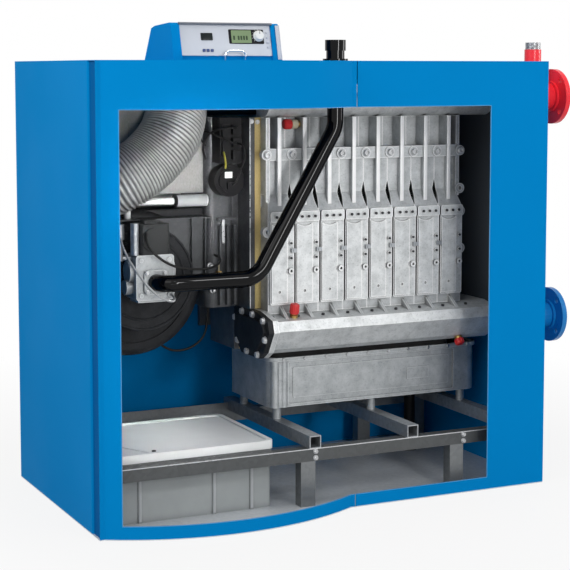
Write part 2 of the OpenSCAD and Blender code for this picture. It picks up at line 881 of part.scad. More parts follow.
// Water pipe through the right side, with its bolted flange
module water_pipe(start, z) {
    translate([start, pipe_y, z]) {
        difference() {
            union() {
                rod_x(pipe_od / 2, flange_x - start);
                translate([flange_x - start - flange_t, 0, 0]) rod_x(flange_od / 2, flange_t);
                translate([flange_x - start - 1.5 * flange_t, 0, 0])
                    rod_x(pipe_od / 2 + 9, flange_t);
            }
            translate([-1, 0, 0]) rod_x(pipe_id / 2, flange_x - start + 2);
            for (a = [45 : 90 : 315])
                rotate([a, 0, 0])
                    translate([flange_x - start - flange_t - 1, flange_pcd / 2, 0])
                        rod_x(flange_hole / 2, flange_t + 2);
        }
    }
}

safety_x = casing_w + safety_reach;
safety_top = casing_h + safety_rise;
safety_z = safety_top - safety_thread_h;

module flow_connection() color([0.85, 0.09, 0.11]) place() {
    difference() {
        union() {
            water_pipe(flow_end, flow_z);
            translate([safety_x, pipe_y, flow_z + pipe_id / 4 + pipe_od / 4])
                cylinder(r = safety_od / 2 + 2, h = safety_z - flow_z - pipe_id / 4 - pipe_od / 4);
        }
        translate([safety_x, pipe_y, flow_z]) cylinder(r = safety_od / 2 - 5, h = safety_top - flow_z);
    }
}

module safety_thread() color(galvanised * 0.8) place()
    translate([safety_x, pipe_y, safety_z])
        difference() {
            cylinder(r = safety_od / 2, h = safety_thread_h);
            translate([0, 0, -1]) cylinder(r = safety_od / 2 - 5, h = safety_thread_h + 2);
        }

module return_connection() color([0.03, 0.33, 0.70]) place()
    water_pipe(manifold_end, return_z);

// Burner and fan

hood_z = ledge_z + gusset_h / 2;
hood_h = section_top - hood_z;
board_y = hood_y - hood_flange_out;
hood_back = hood_y + hood_d;
// Front of the hood's lower part, which passes behind the manifold's end flange
skirt_y = manifold_back + end_lap + 3;

// Closed hood with a ribbed front and a broad flange towards the heat exchanger
module burner_hood() color(black_iron) place() {
    body_w = hood_w - hood_flange;
    rib_t = 8;
    translate([hood_x, hood_y, hood_z]) {
        linear_extrude(hood_h) rounded_rect(body_w - 14, hood_d, 28);
        translate([body_w / 2, 10, 0]) cube([body_w / 2 + 1, hood_d - 10, hood_h]);
        for (x = [0.34, 0.56, 0.78])
            translate([x * body_w, -2 * rib_t, rib_t]) cube([rib_t, 4 * rib_t, hood_h * 0.42]);
        translate([0.3 * body_w, -rib_t, hood_h * 0.46]) cube([0.6 * body_w, 3 * rib_t, rib_t]);
    }
    translate([board_x - hood_flange, board_y - 3, hood_z])
        cube([hood_flange, hood_back - board_y + 3, hood_h]);
    translate([board_x - hood_flange, skirt_y, works_z])
        cube([hood_flange, hood_back - skirt_y, hood_z - works_z + 1]);
}

module insulating_board() color([0.80, 0.72, 0.52]) place() {
    translate([board_x, board_y, hood_z]) cube([board_t, hood_back - board_y, hood_h]);
    translate([board_x, skirt_y, works_z])
        cube([board_t, hood_back - skirt_y, hood_z - works_z + 1]);
}

control_unit_h = 145;
control_unit_d = 64;
control_z = section_top - control_unit_h;

// Control box on the hood's front with two plug blocks and a terminal strip
module burner_control() color(black_iron * 1.4) place() {
    unit_w = hood_w - hood_flange - 40;
    translate([hood_x + 20, hood_y - control_unit_d, control_z]) {
        cube([unit_w, control_unit_d, control_unit_h]);
        translate([6, -10, 20]) cube([0.35 * unit_w, 12, control_unit_h - 40]);
        for (z = [12, 52, 92])
            translate([0.52 * unit_w, -16, z]) cube([0.4 * unit_w, 18, 30]);
    }
}

ignition_r = 52;

// Round ignition transformer with a stepped cap and a plug
module ignition_unit() color(black_iron) place()
    translate([hood_x + 58, hood_y - control_unit_d + 10, control_z - ignition_r - 4]) {
        rod_y(ignition_r, control_unit_d - 10);
        translate([0, -6, 0]) rod_y(0.74 * ignition_r, 8);
        translate([-12, -14, -0.5 * ignition_r]) cube([24, 16, 20]);
    }

// Half outline of the volute with round edges
module volute_profile() {
    edge = 25;
    square([fan_r - edge, fan_d]);
    translate([fan_r - edge, edge]) square([edge, fan_d - 2 * edge]);
    for (y = [edge, fan_d - edge])
        translate([fan_r - edge, y]) circle(edge);
}

module fan_housing() color(black_iron) place() {
    outlet_h = 120;
    difference() {
        translate([fan_x, fan_y, fan_z]) {
            rotate([-90, 0, 0]) rotate_extrude() volute_profile();
            translate([0, 20, fan_r - outlet_h - 6])
                cube([fan_r + outlet_neck, fan_d - 40, outlet_h]);
        }
        translate([fan_x, fan_y - 1, fan_z])
            difference() {
                rod_y(0.82 * fan_r, 6);
                translate([0, -1, 0]) rod_y(0.76 * fan_r, 8);
            }
    }
}

inlet_top = fan_z + 163;
inlet_y = fan_y + fan_d + 100;
inlet_x = sheet_t + duct_od / 2 + 5;

module fan_inlet_box() color(galvanised * 0.7) place()
    translate([sheet_t + 8, fan_y + fan_d, fan_z - 130])
        cube([fan_x + 70, 200, inlet_top - fan_z + 130]);

plate_y = fan_y - pan_t;
plate_z = fan_z - 7;
plate_h = 215;
plate_top = plate_z + plate_h;

// Bracket plate on the fan's front, folded forward at its top and right edge
module fan_plate() color(galvanised) place() {
    plate_x = fan_x - 75;
    plate_w = hood_x - plate_x - 4;
    shelf = 62;
    lip = 16;
    difference() {
        translate([plate_x, plate_y, plate_z]) cube([plate_w, pan_t, plate_h]);
        translate([fan_x, plate_y - 1, valve_z]) rod_y(venturi_r, pan_t + 2);
    }
    translate([plate_x, plate_y - shelf, plate_top - pan_t])
        cube([plate_w, shelf + pan_t, pan_t]);
    for (x = [plate_w - pan_t, plate_w - 3 * lip])
        translate([plate_x + x, plate_y - lip, plate_z]) cube([pan_t, lip + 1, plate_h - pan_t]);
}

venturi_r = 45;
cowl_d = 24;
// Radius of the inlet cowl, which ends under the plate's shelf
cowl_r = plate_top - 2 * pan_t - valve_z;
valve_back = gas_y + 55 + valve_d;
valve_front = valve_back - valve_d;

// Mixing pipe from the gas valve, with the fan's round inlet cowl behind it
module venturi() color(black_iron) place()
    translate([fan_x, valve_back, valve_z]) {
        reach = plate_y - valve_back;
        rod_y(venturi_r, reach);
        translate([0, reach - cowl_d - 34, 0])
            rotate([-90, 0, 0]) cylinder(r1 = venturi_r + 4, r2 = 0.55 * cowl_r, h = 34);
        translate([0, reach - cowl_d, 0]) rod_y(cowl_r, cowl_d);
    }

valve_flange = 76;
valve_flange_t = 8;

// Cast valve block with a pipe flange, round side caps, a foot and cooling ribs
module gas_valve() color(cast_alloy) place() {
    cap_r = 0.24 * valve_h;
    cap_y = valve_d / 2;
    screw_r = 7;
    translate([fan_x - valve_w / 2, valve_front, valve_z + valve_up - valve_h / 2]) {
        upright(valve_d) rounded_rect(valve_w, valve_h, 10);
        translate([-14, cap_y, 0.62 * valve_h]) rod_x(cap_r, valve_w + 24);
        translate([-22, cap_y, 0.28 * valve_h]) rod_x(0.7 * cap_r, valve_w / 2);
        translate([10, 10, -7]) cube([valve_w - 20, valve_d - 20, 9]);
        for (z = [0.12, 0.2, 0.28])
            translate([valve_w - 4, 12, z * valve_h]) cube([10, valve_d - 24, 5]);
        for (x = [16, valve_w - 16], z = [16, valve_h - 16])
            translate([x, -4, z]) rod_y(screw_r, 6);
    }
    translate([fan_x - valve_flange / 2, valve_front - valve_flange_t, valve_z - valve_flange / 2])
        upright(valve_flange_t + 2) rounded_rect(valve_flange, valve_flange, 14);
}

valve_top = valve_z + valve_up + valve_h / 2;
solenoid_h = 94;
coil_shift = 44;

// Coil housing on the valve with a plug on its top and a round cover on its front
module valve_solenoid() color(black_iron) place() {
    coil_w = 96;
    coil_d = valve_d - 8;
    translate([fan_x - coil_shift, valve_front + 4, valve_top]) {
        linear_extrude(solenoid_h) rounded_rect(coil_w, coil_d, 12);
        translate([20, 20, solenoid_h]) cube([46, 40, 10]);
        translate([0.42 * coil_w, -5, solenoid_h / 2]) rod_y(0.38 * solenoid_h, 7);
    }
}

// Gas pressure switch and a second canister beside the valve's coil
module pressure_switch() color(galvanised) place() {
    switch_r = 19;
    canister_r = 13;
    switch_gap = 22;
    nipple_r = 8;
    translate([fan_x - valve_w / 2 - switch_gap - switch_r, valve_front + valve_d / 2,
               valve_top - nipple_r - sheet_t]) {
        translate([0, 0, -nipple_r]) cylinder(r = switch_r - 4, h = 66);
        translate([0, 0, 66 - nipple_r]) cylinder(r = switch_r, h = 46);
        rod_x(nipple_r, switch_r + switch_gap - fit);
    }
    translate([fan_x - coil_shift - canister_r - sheet_t, valve_front + canister_r + 6, valve_top])
        cylinder(r = canister_r, h = solenoid_h + 4);
}

// Gas line

gas_neck_end = casing_h - 20;

module gas_pipe() color(black_iron) place() {
    bend_z = casing_h - gas_bend_drop;
    low_x = gas_x - gas_swing;
    flange_y = valve_front - valve_flange_t;
    join = [fan_x + 100, gas_y, valve_z];
    upper = rounded_path([[gas_x, gas_y, gas_neck_end], [gas_x, gas_y, bend_z],
                          [low_x, gas_y, valve_z], join], gas_bend, 8);
    lower = rounded_path([join, [fan_x, gas_y, valve_z], [fan_x, flange_y, valve_z]],
                         flange_y - gas_y - 1, 6);
    centres = concat(upper, [for (i = [1 : len(lower) - 1]) lower[i]]);
    swept_tube(centres, [for (c = centres) gas_od / 2], 32);
}

module gas_inlet() color(black_iron) place()
    translate([gas_x, gas_y, 0])
        difference() {
            union() {
                translate([0, 0, gas_neck_end]) cylinder(r = gas_neck, h = gas_inlet_h + 20);
                translate([0, 0, casing_h]) cylinder(r = gas_neck + 11, h = 7);
                translate([0, 0, casing_h + gas_inlet_h - 34]) cylinder(r = gas_neck + 4, h = 34);
            }
            translate([0, 0, casing_h + gas_inlet_h - 34]) cylinder(r = gas_socket / 2, h = 40);
        }

// Air duct, corrugated, from the rear collar down to the fan's inlet box

duct_end = casing_d - 30;
duct_route = [
    [duct_x, duct_end, duct_z], [duct_x, duct_end - 150, duct_z],
    [duct_x, 490, duct_z - 4], [duct_x - 23, 368, duct_z - 42],
    [duct_x - 70, 308, duct_z - 124], [duct_x - 143, 296, duct_z - 202],
    [inlet_x + 76, 304, inlet_top + 170], [inlet_x + 14, 365, inlet_top + 142],
    [inlet_x, 455, inlet_top + 132], [inlet_x, inlet_y - 80, inlet_top + 115],
    [inlet_x, inlet_y - 10, inlet_top + 65],
    [inlet_x, inlet_y, inlet_top]];

// Point on the smooth curve through four route points
function spline(a, b, c, d, t) =
    0.5 * (2 * b + (c - a) * t + (2 * a - 5 * b + 4 * c - d) * t * t
           + (3 * b - a - 3 * c + d) * t * t * t);

function route_point(route, k, t) =
    let (n = len(route) - 1,
         before = k > 0 ? route[k - 1] : 2 * route[0] - route[1],
         after = k + 2 <= n ? route[k + 2] : 2 * route[n] - route[n - 1])
    spline(before, route[k], route[k + 1], after, t);

// Centres along a smooth route, two for each ridge
function ridge_centres(route, pitch) =
    let (spans = len(route) - 1)
    concat(
        [for (k = [0 : spans - 1])
            let (steps = 2 * max(1, round(norm(route[k + 1] - route[k]) / pitch)))
            for (s = [0 : steps - 1]) route_point(route, k, s / steps)],
        [route[spans]]);

module air_duct() color(galvanised) place() {
    centres = ridge_centres(duct_route, 20);
    radii = [for (i = [0 : len(centres) - 1]) duct_od / 2 - (i % 2 == 0 ? duct_ridge : 0)];
    swept_tube(centres, radii, 24);
}

// Round connection through the rear panel with a flange ring on its outside
module rear_connection(inside, outside, radius, wall) {
    bore = radius - pan_t - wall;
    ring = 16;
    difference() {
        union() {
            rod_y(radius - pan_t, inside + pan_t);
            translate([0, inside, 0]) rod_y(radius + ring, pan_t);
            translate([0, inside + pan_t, 0]) rod_y(radius, outside - pan_t);
        }
        translate([0, pan_t, 0]) rod_y(bore, inside + outside);
    }
}

module air_collar() color(galvanised) place()
    translate([duct_x, duct_end, duct_z])
        rear_connection(casing_d - duct_end, collar_out, duct_od / 2, sheet_t);

module air_tube() color([0.92, 0.92, 0.90]) place() {
    tube_r = 11;
    sleeve_r = 19;
    sleeve_l = 108;
    start = fan_x - 23;
    tube_y = hood_y + 2;
    tube_z = plate_top + 50;
    translate([hood_x - sleeve_l, tube_y, tube_z]) rod_x(sleeve_r, sleeve_l);
    translate([start, tube_y, tube_z]) rod_x(tube_r, hood_x - sleeve_l - start);
    translate([start, tube_y, plate_top]) cylinder(r = tube_r, h = tube_z - plate_top);
}

// Flue

module flue_collector() color(galvanised * 0.6) place()
    translate([flue_x - flue_od, works_back + fit, tray_z + 5])
        cube([2 * flue_od, flue_d, flue_od + 125]);

module flue_spigot() color(galvanised) place()
    translate([flue_x, flue_back, flue_z])
        rear_connection(casing_d - flue_back, flue_out, flue_od / 2, flue_wall);

// Neutraliser

box_x = 75;
box_y = front_rail_y + 55;

box_r = 14;
rib_h = 4;

// Open box with flat stiffening ribs on its front and right side
module neutraliser_box() color([0.90, 0.91, 0.91]) place()
    translate([box_x, box_y, pan_t])
        difference() {
            union() {
                linear_extrude(box_h - lid_h) rounded_rect(box_w, box_d, box_r);
                for (x = [0.16, 0.62, 0.86])
                    translate([x * box_w, -rib_h, 0]) cube([3 * rib_h, rib_h + 2, box_h - lid_h]);
                for (y = [0.3, 0.66])
                    translate([box_w - 2, y * box_d, 0]) cube([rib_h + 2, 3 * rib_h, box_h - lid_h]);
                translate([-rib_h, -rib_h, box_h - lid_h - 2 * rib_h])
                    linear_extrude(2 * rib_h)
                        rounded_rect(box_w + 2 * rib_h, box_d + 2 * rib_h, box_r + rib_h);
            }
            translate([box_wall, box_wall, box_wall])
                linear_extrude(box_h)
                    rounded_rect(box_w - 2 * box_wall, box_d - 2 * box_wall, box_r - box_wall);
        }

// Lid with a raised rim, a sunk field and a ridge across its left corner
module neutraliser_lid() color([0.94, 0.95, 0.95]) place() {
    over = 2 * rib_h;
    rim = 4 * rib_h;
    sunk = lid_h - lid_sink;
    translate([box_x - over, box_y - over, pan_t + box_h - lid_h]) {
        difference() {
            linear_extrude(lid_h) rounded_rect(box_w + 2 * over, box_d + 2 * over, box_r + over);
            translate([rim, rim, sunk])
                linear_extrude(lid_h)
                    rounded_rect(box_w + 2 * over - 2 * rim, box_d + 2 * over - 2 * rim, box_r);
        }
        intersection() {
            translate([0.3 * box_w, 0, sunk - 1]) rotate([0, 0, 118])
                cube([0.6 * box_w, 2 * rib_h, lid_sink]);
            translate([rim - 1, rim - 1, 0]) cube([box_w, box_d, lid_h]);
        }
    }
}

// Controller

face_h = control_h / cos(control_lean);
lean_back = control_h * tan(control_lean);
// How far the controller's rear leans in, and the drop of its rounded upper edges
rear_slope = 60;
crown = 7;

// Side outline of a controller cheek, face leaning back and rear sloping down
cheek_outline = [
    [0, 0], [control_d, 0], [control_d - rear_slope, control_h - 2 * crown],
    [control_d - 1.5 * rear_slope, control_h - crown],
    [lean_back + 1.5 * crown, control_h], [lean_back, control_h - crown]];

// Body between the cheeks, whose face lies behind their front edges
body_outline = [
    [cheek_out, 0], [control_d - crown, 0], [control_d - rear_slope - crown, control_h - 2 * crown],
    [lean_back + cheek_out + 1.5 * crown, control_h - crown / 2],
    [lean_back + cheek_out, control_h - crown / 2]];

module controller_housing() color(casing_blue) place()
    translate([control_x, control_y, casing_h]) {
        translate([cheek_w / 2, 0, 0]) along_x(control_w - cheek_w) polygon(body_outline);
        for (x = [0, control_w - cheek_w])
            translate([x, 0, 0]) along_x(cheek_w) polygon(cheek_outline);
    }

// Puts a thing on the leaning face, measured from its lower left corner
module on_face(x, z) {
    translate([control_x, control_y, casing_h])
        translate([cheek_w, cheek_out, 0])
            rotate([-control_lean, 0, 0]) translate([x, 0, z]) children();
}

panel_lift = 4;
panel_w = control_w - 2 * cheek_w - 2 * fit;
panel_h = face_h - 18;

module control_panel() color([0.75, 0.76, 0.77]) place()
    on_face(fit, 14) translate([0, -panel_lift, 0]) upright(panel_lift) rounded_rect(panel_w, panel_h, 3);

module control_display() color([0.25, 0.42, 0.20]) place()
    on_face(0.56 * panel_w, 14 + 0.4 * panel_h) translate([0, -panel_lift - 3, 0])
        upright(3) rounded_rect(0.22 * panel_w, 0.4 * panel_h, 2);

module control_knob() color([0.93, 0.93, 0.92]) place()
    on_face(0.86 * panel_w, 14 + 0.62 * panel_h) translate([0, -panel_lift - 12, 0]) {
        rod_y(knob_d / 2 - 2, 12);
        translate([0, 4, 0]) rod_y(knob_d / 2, 8);
    }

// Lining mats

mat_y = casing_d - sheet_t - mat_t;
mat_split = works_x - 10;

// Light mat on the rear panel behind the fan and the duct
module lining_light() color([0.62, 0.62, 0.60]) place()
    difference() {
        translate([sheet_t + 4, mat_y, rail_top + 480])
            cube([mat_split - sheet_t - 8, mat_t, under_top - rail_top - 484]);
        translate([duct_x, mat_y - 1, duct_z]) rod_y(duct_od / 2 + 2, mat_t + 2);
    }

// Dark mats on the rear panel and the right side, beside the heat exchanger
module lining_dark() color([0.13, 0.14, 0.15]) place() {
    side_x = casing_w - sheet_t - mat_t;
    low_z = tray_top + 40;
    difference() {
        translate([mat_split, mat_y, low_z]) cube([side_x - mat_split, mat_t, under_top - low_z - 4]);
        translate([flue_x, mat_y - 1, flue_z]) rod_y(flue_od / 2 + 2, mat_t + 2);
    }
    difference() {
        translate([side_x + fit, corner_d + post_w, low_z])
            cube([mat_t - fit, casing_d - sheet_t - corner_d - post_w, under_top - low_z - 4]);
        for (z = [flow_z, return_z])
            translate([side_x - 1, pipe_y, z]) rod_x(pipe_od / 2 + pass, mat_t + 2);
    }
}

base_pan();
left_side_panel();
right_side_panel();
rear_panel();
top_panel();
front_panel_left();
front_panel_right();
corner_posts();
head_rail_bar();
front_rail();
rear_rail();
cross_rails();
frame_legs();
condensate_tray();
tray_seal();
condensate_drain();
section(1);  // section_1
section(2);  // section_2
section(3);  // section_3
section(4);  // section_4
section(5);  // section_5
section(6);  // section_6
section(7);  // section_7
section(8);  // section_8
cleaning_covers();
cover_clamps();
return_manifold();
manifold_end_cover();
flow_manifold();
flow_connection();
safety_thread();
return_connection();
burner_hood();
insulating_board();
burner_control();
ignition_unit();
fan_housing();
fan_inlet_box();
fan_plate();
venturi();
gas_valve();
valve_solenoid();
pressure_switch();
gas_pipe();
gas_inlet();
air_duct();
air_collar();
air_tube();
flue_collector();
flue_spigot();
neutraliser_box();
neutraliser_lid();
controller_housing();
control_panel();
control_display();
control_knob();
lining_light();
lining_dark();
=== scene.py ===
"""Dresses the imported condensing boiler: finishes, corrugated duct, pipe, screws and controls."""

import logging
import math
from dataclasses import dataclass, field
from enum import Enum

import bpy
import numpy as np
from mathutils import Matrix, Vector


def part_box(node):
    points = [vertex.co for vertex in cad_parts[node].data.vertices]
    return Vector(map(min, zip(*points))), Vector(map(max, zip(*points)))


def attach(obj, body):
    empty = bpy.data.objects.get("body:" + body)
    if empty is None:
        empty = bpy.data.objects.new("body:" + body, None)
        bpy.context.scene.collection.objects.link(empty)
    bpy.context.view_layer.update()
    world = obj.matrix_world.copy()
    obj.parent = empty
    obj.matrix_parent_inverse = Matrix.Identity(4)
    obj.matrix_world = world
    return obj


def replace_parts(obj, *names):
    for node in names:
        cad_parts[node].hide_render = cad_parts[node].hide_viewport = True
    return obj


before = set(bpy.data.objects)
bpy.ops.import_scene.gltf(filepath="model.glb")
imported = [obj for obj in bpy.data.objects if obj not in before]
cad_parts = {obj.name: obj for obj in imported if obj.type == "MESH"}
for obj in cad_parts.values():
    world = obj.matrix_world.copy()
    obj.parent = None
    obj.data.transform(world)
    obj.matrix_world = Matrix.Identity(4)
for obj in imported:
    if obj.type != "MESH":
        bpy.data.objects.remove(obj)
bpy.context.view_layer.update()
LOG = logging.getLogger("boiler")
BODY = "root"
MM = 0.001
Array = np.ndarray


def corner_of(node: str) -> Array:
    """Lowest corner of a CAD node, in metres."""
    return np.array(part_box(node)[0])


CABINET = np.array((corner_of("top_panel")[0], corner_of("front_panel_right")[1], 0.0))


def in_cabinet(x: float, y: float, z: float) -> Array:
    """Point given in millimetres from the casing's front left floor corner, in metres."""
    return CABINET + MM * np.array((x, y, z), float)


def places(*points: tuple[float, float, float]) -> Array:
    """Points given in millimetres from the same corner, as rows in metres."""
    return CABINET + MM * np.array(points, float)


# Surfaces worked out as arrays


@dataclass
class Surface:
    """Points of a mesh with its four-sided and three-sided faces."""

    points: Array
    quads: Array = field(default_factory=lambda: np.zeros((0, 4), int))
    triangles: Array = field(default_factory=lambda: np.zeros((0, 3), int))

    def moved(self, matrix: Array) -> "Surface":
        """The same surface carried by a 4 by 4 matrix."""
        return Surface(self.points @ matrix[:3, :3].T + matrix[:3, 3], self.quads, self.triangles)

    def outward(self) -> "Surface":
        """The same closed surface with its faces turned out, told by the sign of its volume."""
        halves = np.concatenate([self.quads[:, :3], self.quads[:, [0, 2, 3]], self.triangles])
        a, b, c = (self.points[halves[:, i]] for i in range(3))
        if np.einsum("ij,ij->", a, np.cross(b, c)) >= 0.0:
            return self
        return Surface(self.points, self.quads[:, ::-1], self.triangles[:, ::-1])

    def repeated(self, matrices: Array) -> "Surface":
        """One surface with a copy for each of n matrices.

        Args:
            matrices: array of shape (n, 4, 4).

        Returns:
            All copies as one surface, points moved by each matrix in turn.
        """
        count, size = len(matrices), len(self.points)
        points = np.einsum("nij,pj->npi", matrices[:, :3, :3], self.points)
        points = points + matrices[:, None, :3, 3]
        shift = (np.arange(count) * size)[:, None, None]
        return Surface(
            points.reshape(-1, 3),
            (self.quads[None] + shift).reshape(-1, 4),
            (self.triangles[None] + shift).reshape(-1, 3),
        )


def joined(parts: list[Surface]) -> Surface:
    """Several surfaces as one, their face numbers shifted past the earlier points."""
    starts = np.cumsum([0] + [len(p.points) for p in parts[:-1]])
    return Surface(
        np.concatenate([p.points for p in parts]),
        np.concatenate([p.quads + s for p, s in zip(parts, starts)]),
        np.concatenate([p.triangles + s for p, s in zip(parts, starts)]),
    )


def rings_to_surface(rings: Array, capped: bool = True, closed: bool = False) -> Surface:
    """Skin over a stack of rings.

    Args:
        rings: array of shape (n, sides, 3), each ring running counter-clockwise seen from its end.
        capped: closes the first and last ring with a fan about its middle.
        closed: joins the last ring to the first, as on a torus.

    Returns:
        The skin, one quad between neighbouring points of neighbouring rings.
    """
    count, sides, _ = rings.shape
    index = np.arange(count * sides).reshape(count, sides)
    across = np.roll(index, -1, axis=1)
    lower, upper = (index, np.roll(index, -1, axis=0)) if closed else (index[:-1], index[1:])
    lower_next, upper_next = (
        (across, np.roll(across, -1, axis=0)) if closed else (across[:-1], across[1:])
    )
    quads = np.stack([lower, lower_next, upper_next, upper], axis=-1).reshape(-1, 4)
    points = rings.reshape(-1, 3)
    triangles = np.zeros((0, 3), int)
    if capped and not closed:
        middles = np.stack([rings[0].mean(axis=0), rings[-1].mean(axis=0)])
        first, last = len(points), len(points) + 1
        points = np.concatenate([points, middles])
        start_fan = np.stack([across[0], index[0], np.full(sides, first)], axis=-1)
        end_fan = np.stack([index[-1], across[-1], np.full(sides, last)], axis=-1)
        triangles = np.concatenate([start_fan, end_fan])
    return Surface(points, quads, triangles).outward()


def sweep(path: Array, radii: Array, sides: int = 16) -> Surface:
    """Round tube along a path.

    Each ring stands square to the path's direction there. Its radius may change along the path and
    round the ring.

    Args:
        path: centre points, shape (n, 3).
        radii: one radius, n radii, or an (n, sides) array of them.
        sides: points on a ring.

    Returns:
        The closed tube.
    """
    along = np.gradient(path, axis=0)
    along /= np.linalg.norm(along, axis=1, keepdims=True)
    across = np.cross(along, np.array((1.0, 0.2, -0.6)))
    across /= np.linalg.norm(across, axis=1, keepdims=True)
    over = np.cross(along, across)
    angle = np.linspace(0.0, 2.0 * math.pi, sides, endpoint=False)[None, :, None]
    spread = np.broadcast_to(np.asarray(radii, float), (len(path),)) if np.ndim(radii) < 2 else radii
    spread = spread[:, None, None] if np.ndim(spread) == 1 else spread[:, :, None]
    rings = path[:, None] + spread * (
        across[:, None] * np.cos(angle) + over[:, None] * np.sin(angle)
    )
    return rings_to_surface(rings)


def revolved(profile: list | Array, sides: int = 24, flutes: int = 0, groove: float = 0.0) -> Surface:
    """Profile turned about Z and closed at both ends.

    A point lies at radius * (1 + groove * cos(flutes * angle)) from the axis.

    Args:
        profile: (radius, height) pairs in millimetres, from one end to the other.
        sides: points on a ring.
        flutes: waves round a ring.
        groove: height of those waves as a share of the radius.

    Returns:
        The closed surface, standing on Z.
    """
    lengths = MM * np.array(profile, float)
    angle = np.linspace(0.0, 2.0 * math.pi, sides, endpoint=False)
    radius = lengths[:, :1] * (1.0 + groove * np.cos(flutes * angle))
    level = np.broadcast_to(lengths[:, 1:], radius.shape)
    rings = np.stack([radius * np.cos(angle), radius * np.sin(angle), level], axis=-1)
    return rings_to_surface(rings)


def round_outline(width: float, height: float, radius: float, steps: int = 6) -> Array:
    """Rectangle about the origin whose corners are quarter circles, counter-clockwise."""
    quarter = np.linspace(0.0, math.pi / 2.0, steps)
    turns = quarter[None] + np.arange(4)[:, None] * math.pi / 2.0
    middle = np.array(((1, 1), (-1, 1), (-1, -1), (1, -1))) * (
        np.array((width, height)) / 2.0 - radius
    )
    corner = radius * np.stack([np.cos(turns), np.sin(turns)], axis=-1)
    return (middle[:, None] + corner).reshape(-1, 2)


def pad(width: float, height: float, depth: float, radius: float, bevel: float) -> Surface:
    """Flat pad standing on Z = 0, with round corners and a round upper edge.

    The outline shrinks by bevel * (1 - cos a) while it rises by bevel * sin a over a quarter turn.
    """
    turn = np.linspace(0.0, math.pi / 2.0, 5)
    inset = MM * np.concatenate([[0.0], bevel * (1.0 - np.cos(turn))])
    level = MM * np.concatenate([[0.0], depth - bevel + bevel * np.sin(turn)])
    outline = round_outline(width * MM, height * MM, radius * MM)
    away = np.sign(outline)
    flat = outline[None] - inset[:, None, None] * away
    rings = np.concatenate([flat, np.broadcast_to(level[:, None, None], (*flat.shape[:2], 1))], axis=-1)
    return rings_to_surface(rings)


class Head(Enum):
    """Kind of screw head."""

    HEX = "hexagon on a washer"
    CAP = "round with a sunk key hole"
    PAN = "low dome"


def screw_head(kind: Head, size: float) -> Surface:
    """Screw head standing on Z = 0, for a thread of a given size in millimetres."""
    if kind is Head.HEX:
        washer = np.array(((1.1, 0.0), (1.1, 0.16), (1.04, 0.22), (0.5, 0.22)))
        head = np.array(((0.92, 0.2), (0.92, 0.74), (0.8, 0.86), (0.3, 0.86)))
        return joined([revolved(size * washer, 20), revolved(size * head, 6)])
    if kind is Head.CAP:
        cap = ((0.82, 0.0), (0.82, 0.78), (0.74, 0.86), (0.45, 0.86), (0.42, 0.4), (0.1, 0.4))
        return revolved(size * np.array(cap), 20)
    dome = ((1.0, 0.0), (0.98, 0.18), (0.8, 0.42), (0.45, 0.58), (0.1, 0.62))
    return revolved(size * np.array(dome), 18)


def facing(points: Array, normal: tuple[float, float, float]) -> Array:
    """Matrices that put a thing standing on Z at each point, turned to look along a normal."""
    z = np.array(normal, float)
    z /= np.linalg.norm(z)
    helper = np.array((0.0, 0.0, 1.0)) if abs(z[2]) < 0.9 else np.array((0.0, 1.0, 0.0))
    x = np.cross(helper, z)
    x /= np.linalg.norm(x)
    matrices = np.tile(np.eye(4), (len(points), 1, 1))
    matrices[:, :3, 0], matrices[:, :3, 1], matrices[:, :3, 2] = x, np.cross(z, x), z
    matrices[:, :3, 3] = points
    return matrices


def smooth_route(points: Array, per_span: int) -> Array:
    """Points on the smooth curve that passes through a route's points.

    Each span is a cubic whose ends take their direction from the neighbouring points.
    """
    padded = np.concatenate(
        [[2 * points[0] - points[1]], points, [2 * points[-1] - points[-2]]]
    )
    a, b, c, d = (padded[i : len(padded) - 3 + i, None] for i in range(4))
    t = np.linspace(0.0, 1.0, per_span, endpoint=False)[None, :, None]
    spans = 0.5 * (
        2 * b + (c - a) * t + (2 * a - 5 * b + 4 * c - d) * t**2 + (3 * b - a - 3 * c + d) * t**3
    )
    return np.concatenate([spans.reshape(-1, 3), points[-1:]])


def profile_along(path: Array, aside: Array, out: Array, profile: list) -> Surface:
    """Strip with one profile along a path: point + a * aside + b * out for each pair (a, b).

    Args:
        path: points in metres, shape (n, 3).
        aside: direction of the profile's first measure at each point.
        out: direction of its second measure at each point.
        profile: pairs of millimetres round the profile.

    Returns:
        The closed strip.
    """
    pairs = MM * np.array(profile, float)
    rings = path[:, None] + pairs[None, :, :1] * aside[:, None] + pairs[None, :, 1:] * out[:, None]
    return rings_to_surface(rings)


def evenly_spaced(path: Array, spacing: float) -> Array:
    """The same path with its points a given distance apart."""
    length = np.concatenate([[0.0], np.cumsum(np.linalg.norm(np.diff(path, axis=0), axis=1))])
    wanted = np.linspace(0.0, length[-1], max(2, int(round(length[-1] / spacing))) + 1)
    return np.column_stack([np.interp(wanted, length, path[:, i]) for i in range(3)])


def make_piece(name: str, surface: Surface, finish: "Finish",
               sharp: float = 35.0) -> bpy.types.Object:
    """Puts a surface into the scene as a piece that rides on the boiler.

    Args:
        name: the piece's name.
        surface: its points and faces, in metres.
        finish: what it is made of.
        sharp: angle in degrees past which an edge stays sharp.

    Returns:
        The new object.
    """
    mesh = bpy.data.meshes.new(name)
    faces = surface.quads.tolist() + surface.triangles.tolist()
    mesh.from_pydata(surface.points.tolist(), [], faces)
    mesh.update()
    mesh.shade_smooth()
    mesh.set_sharp_from_angle(angle=math.radians(sharp))
    mesh.materials.append(finish.material())
    piece = bpy.data.objects.new(name, mesh)
    bpy.context.scene.collection.objects.link(piece)
    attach(piece, BODY)
    LOG.info("%s: %d points", name, len(surface.points))
    return piece


# Finishes


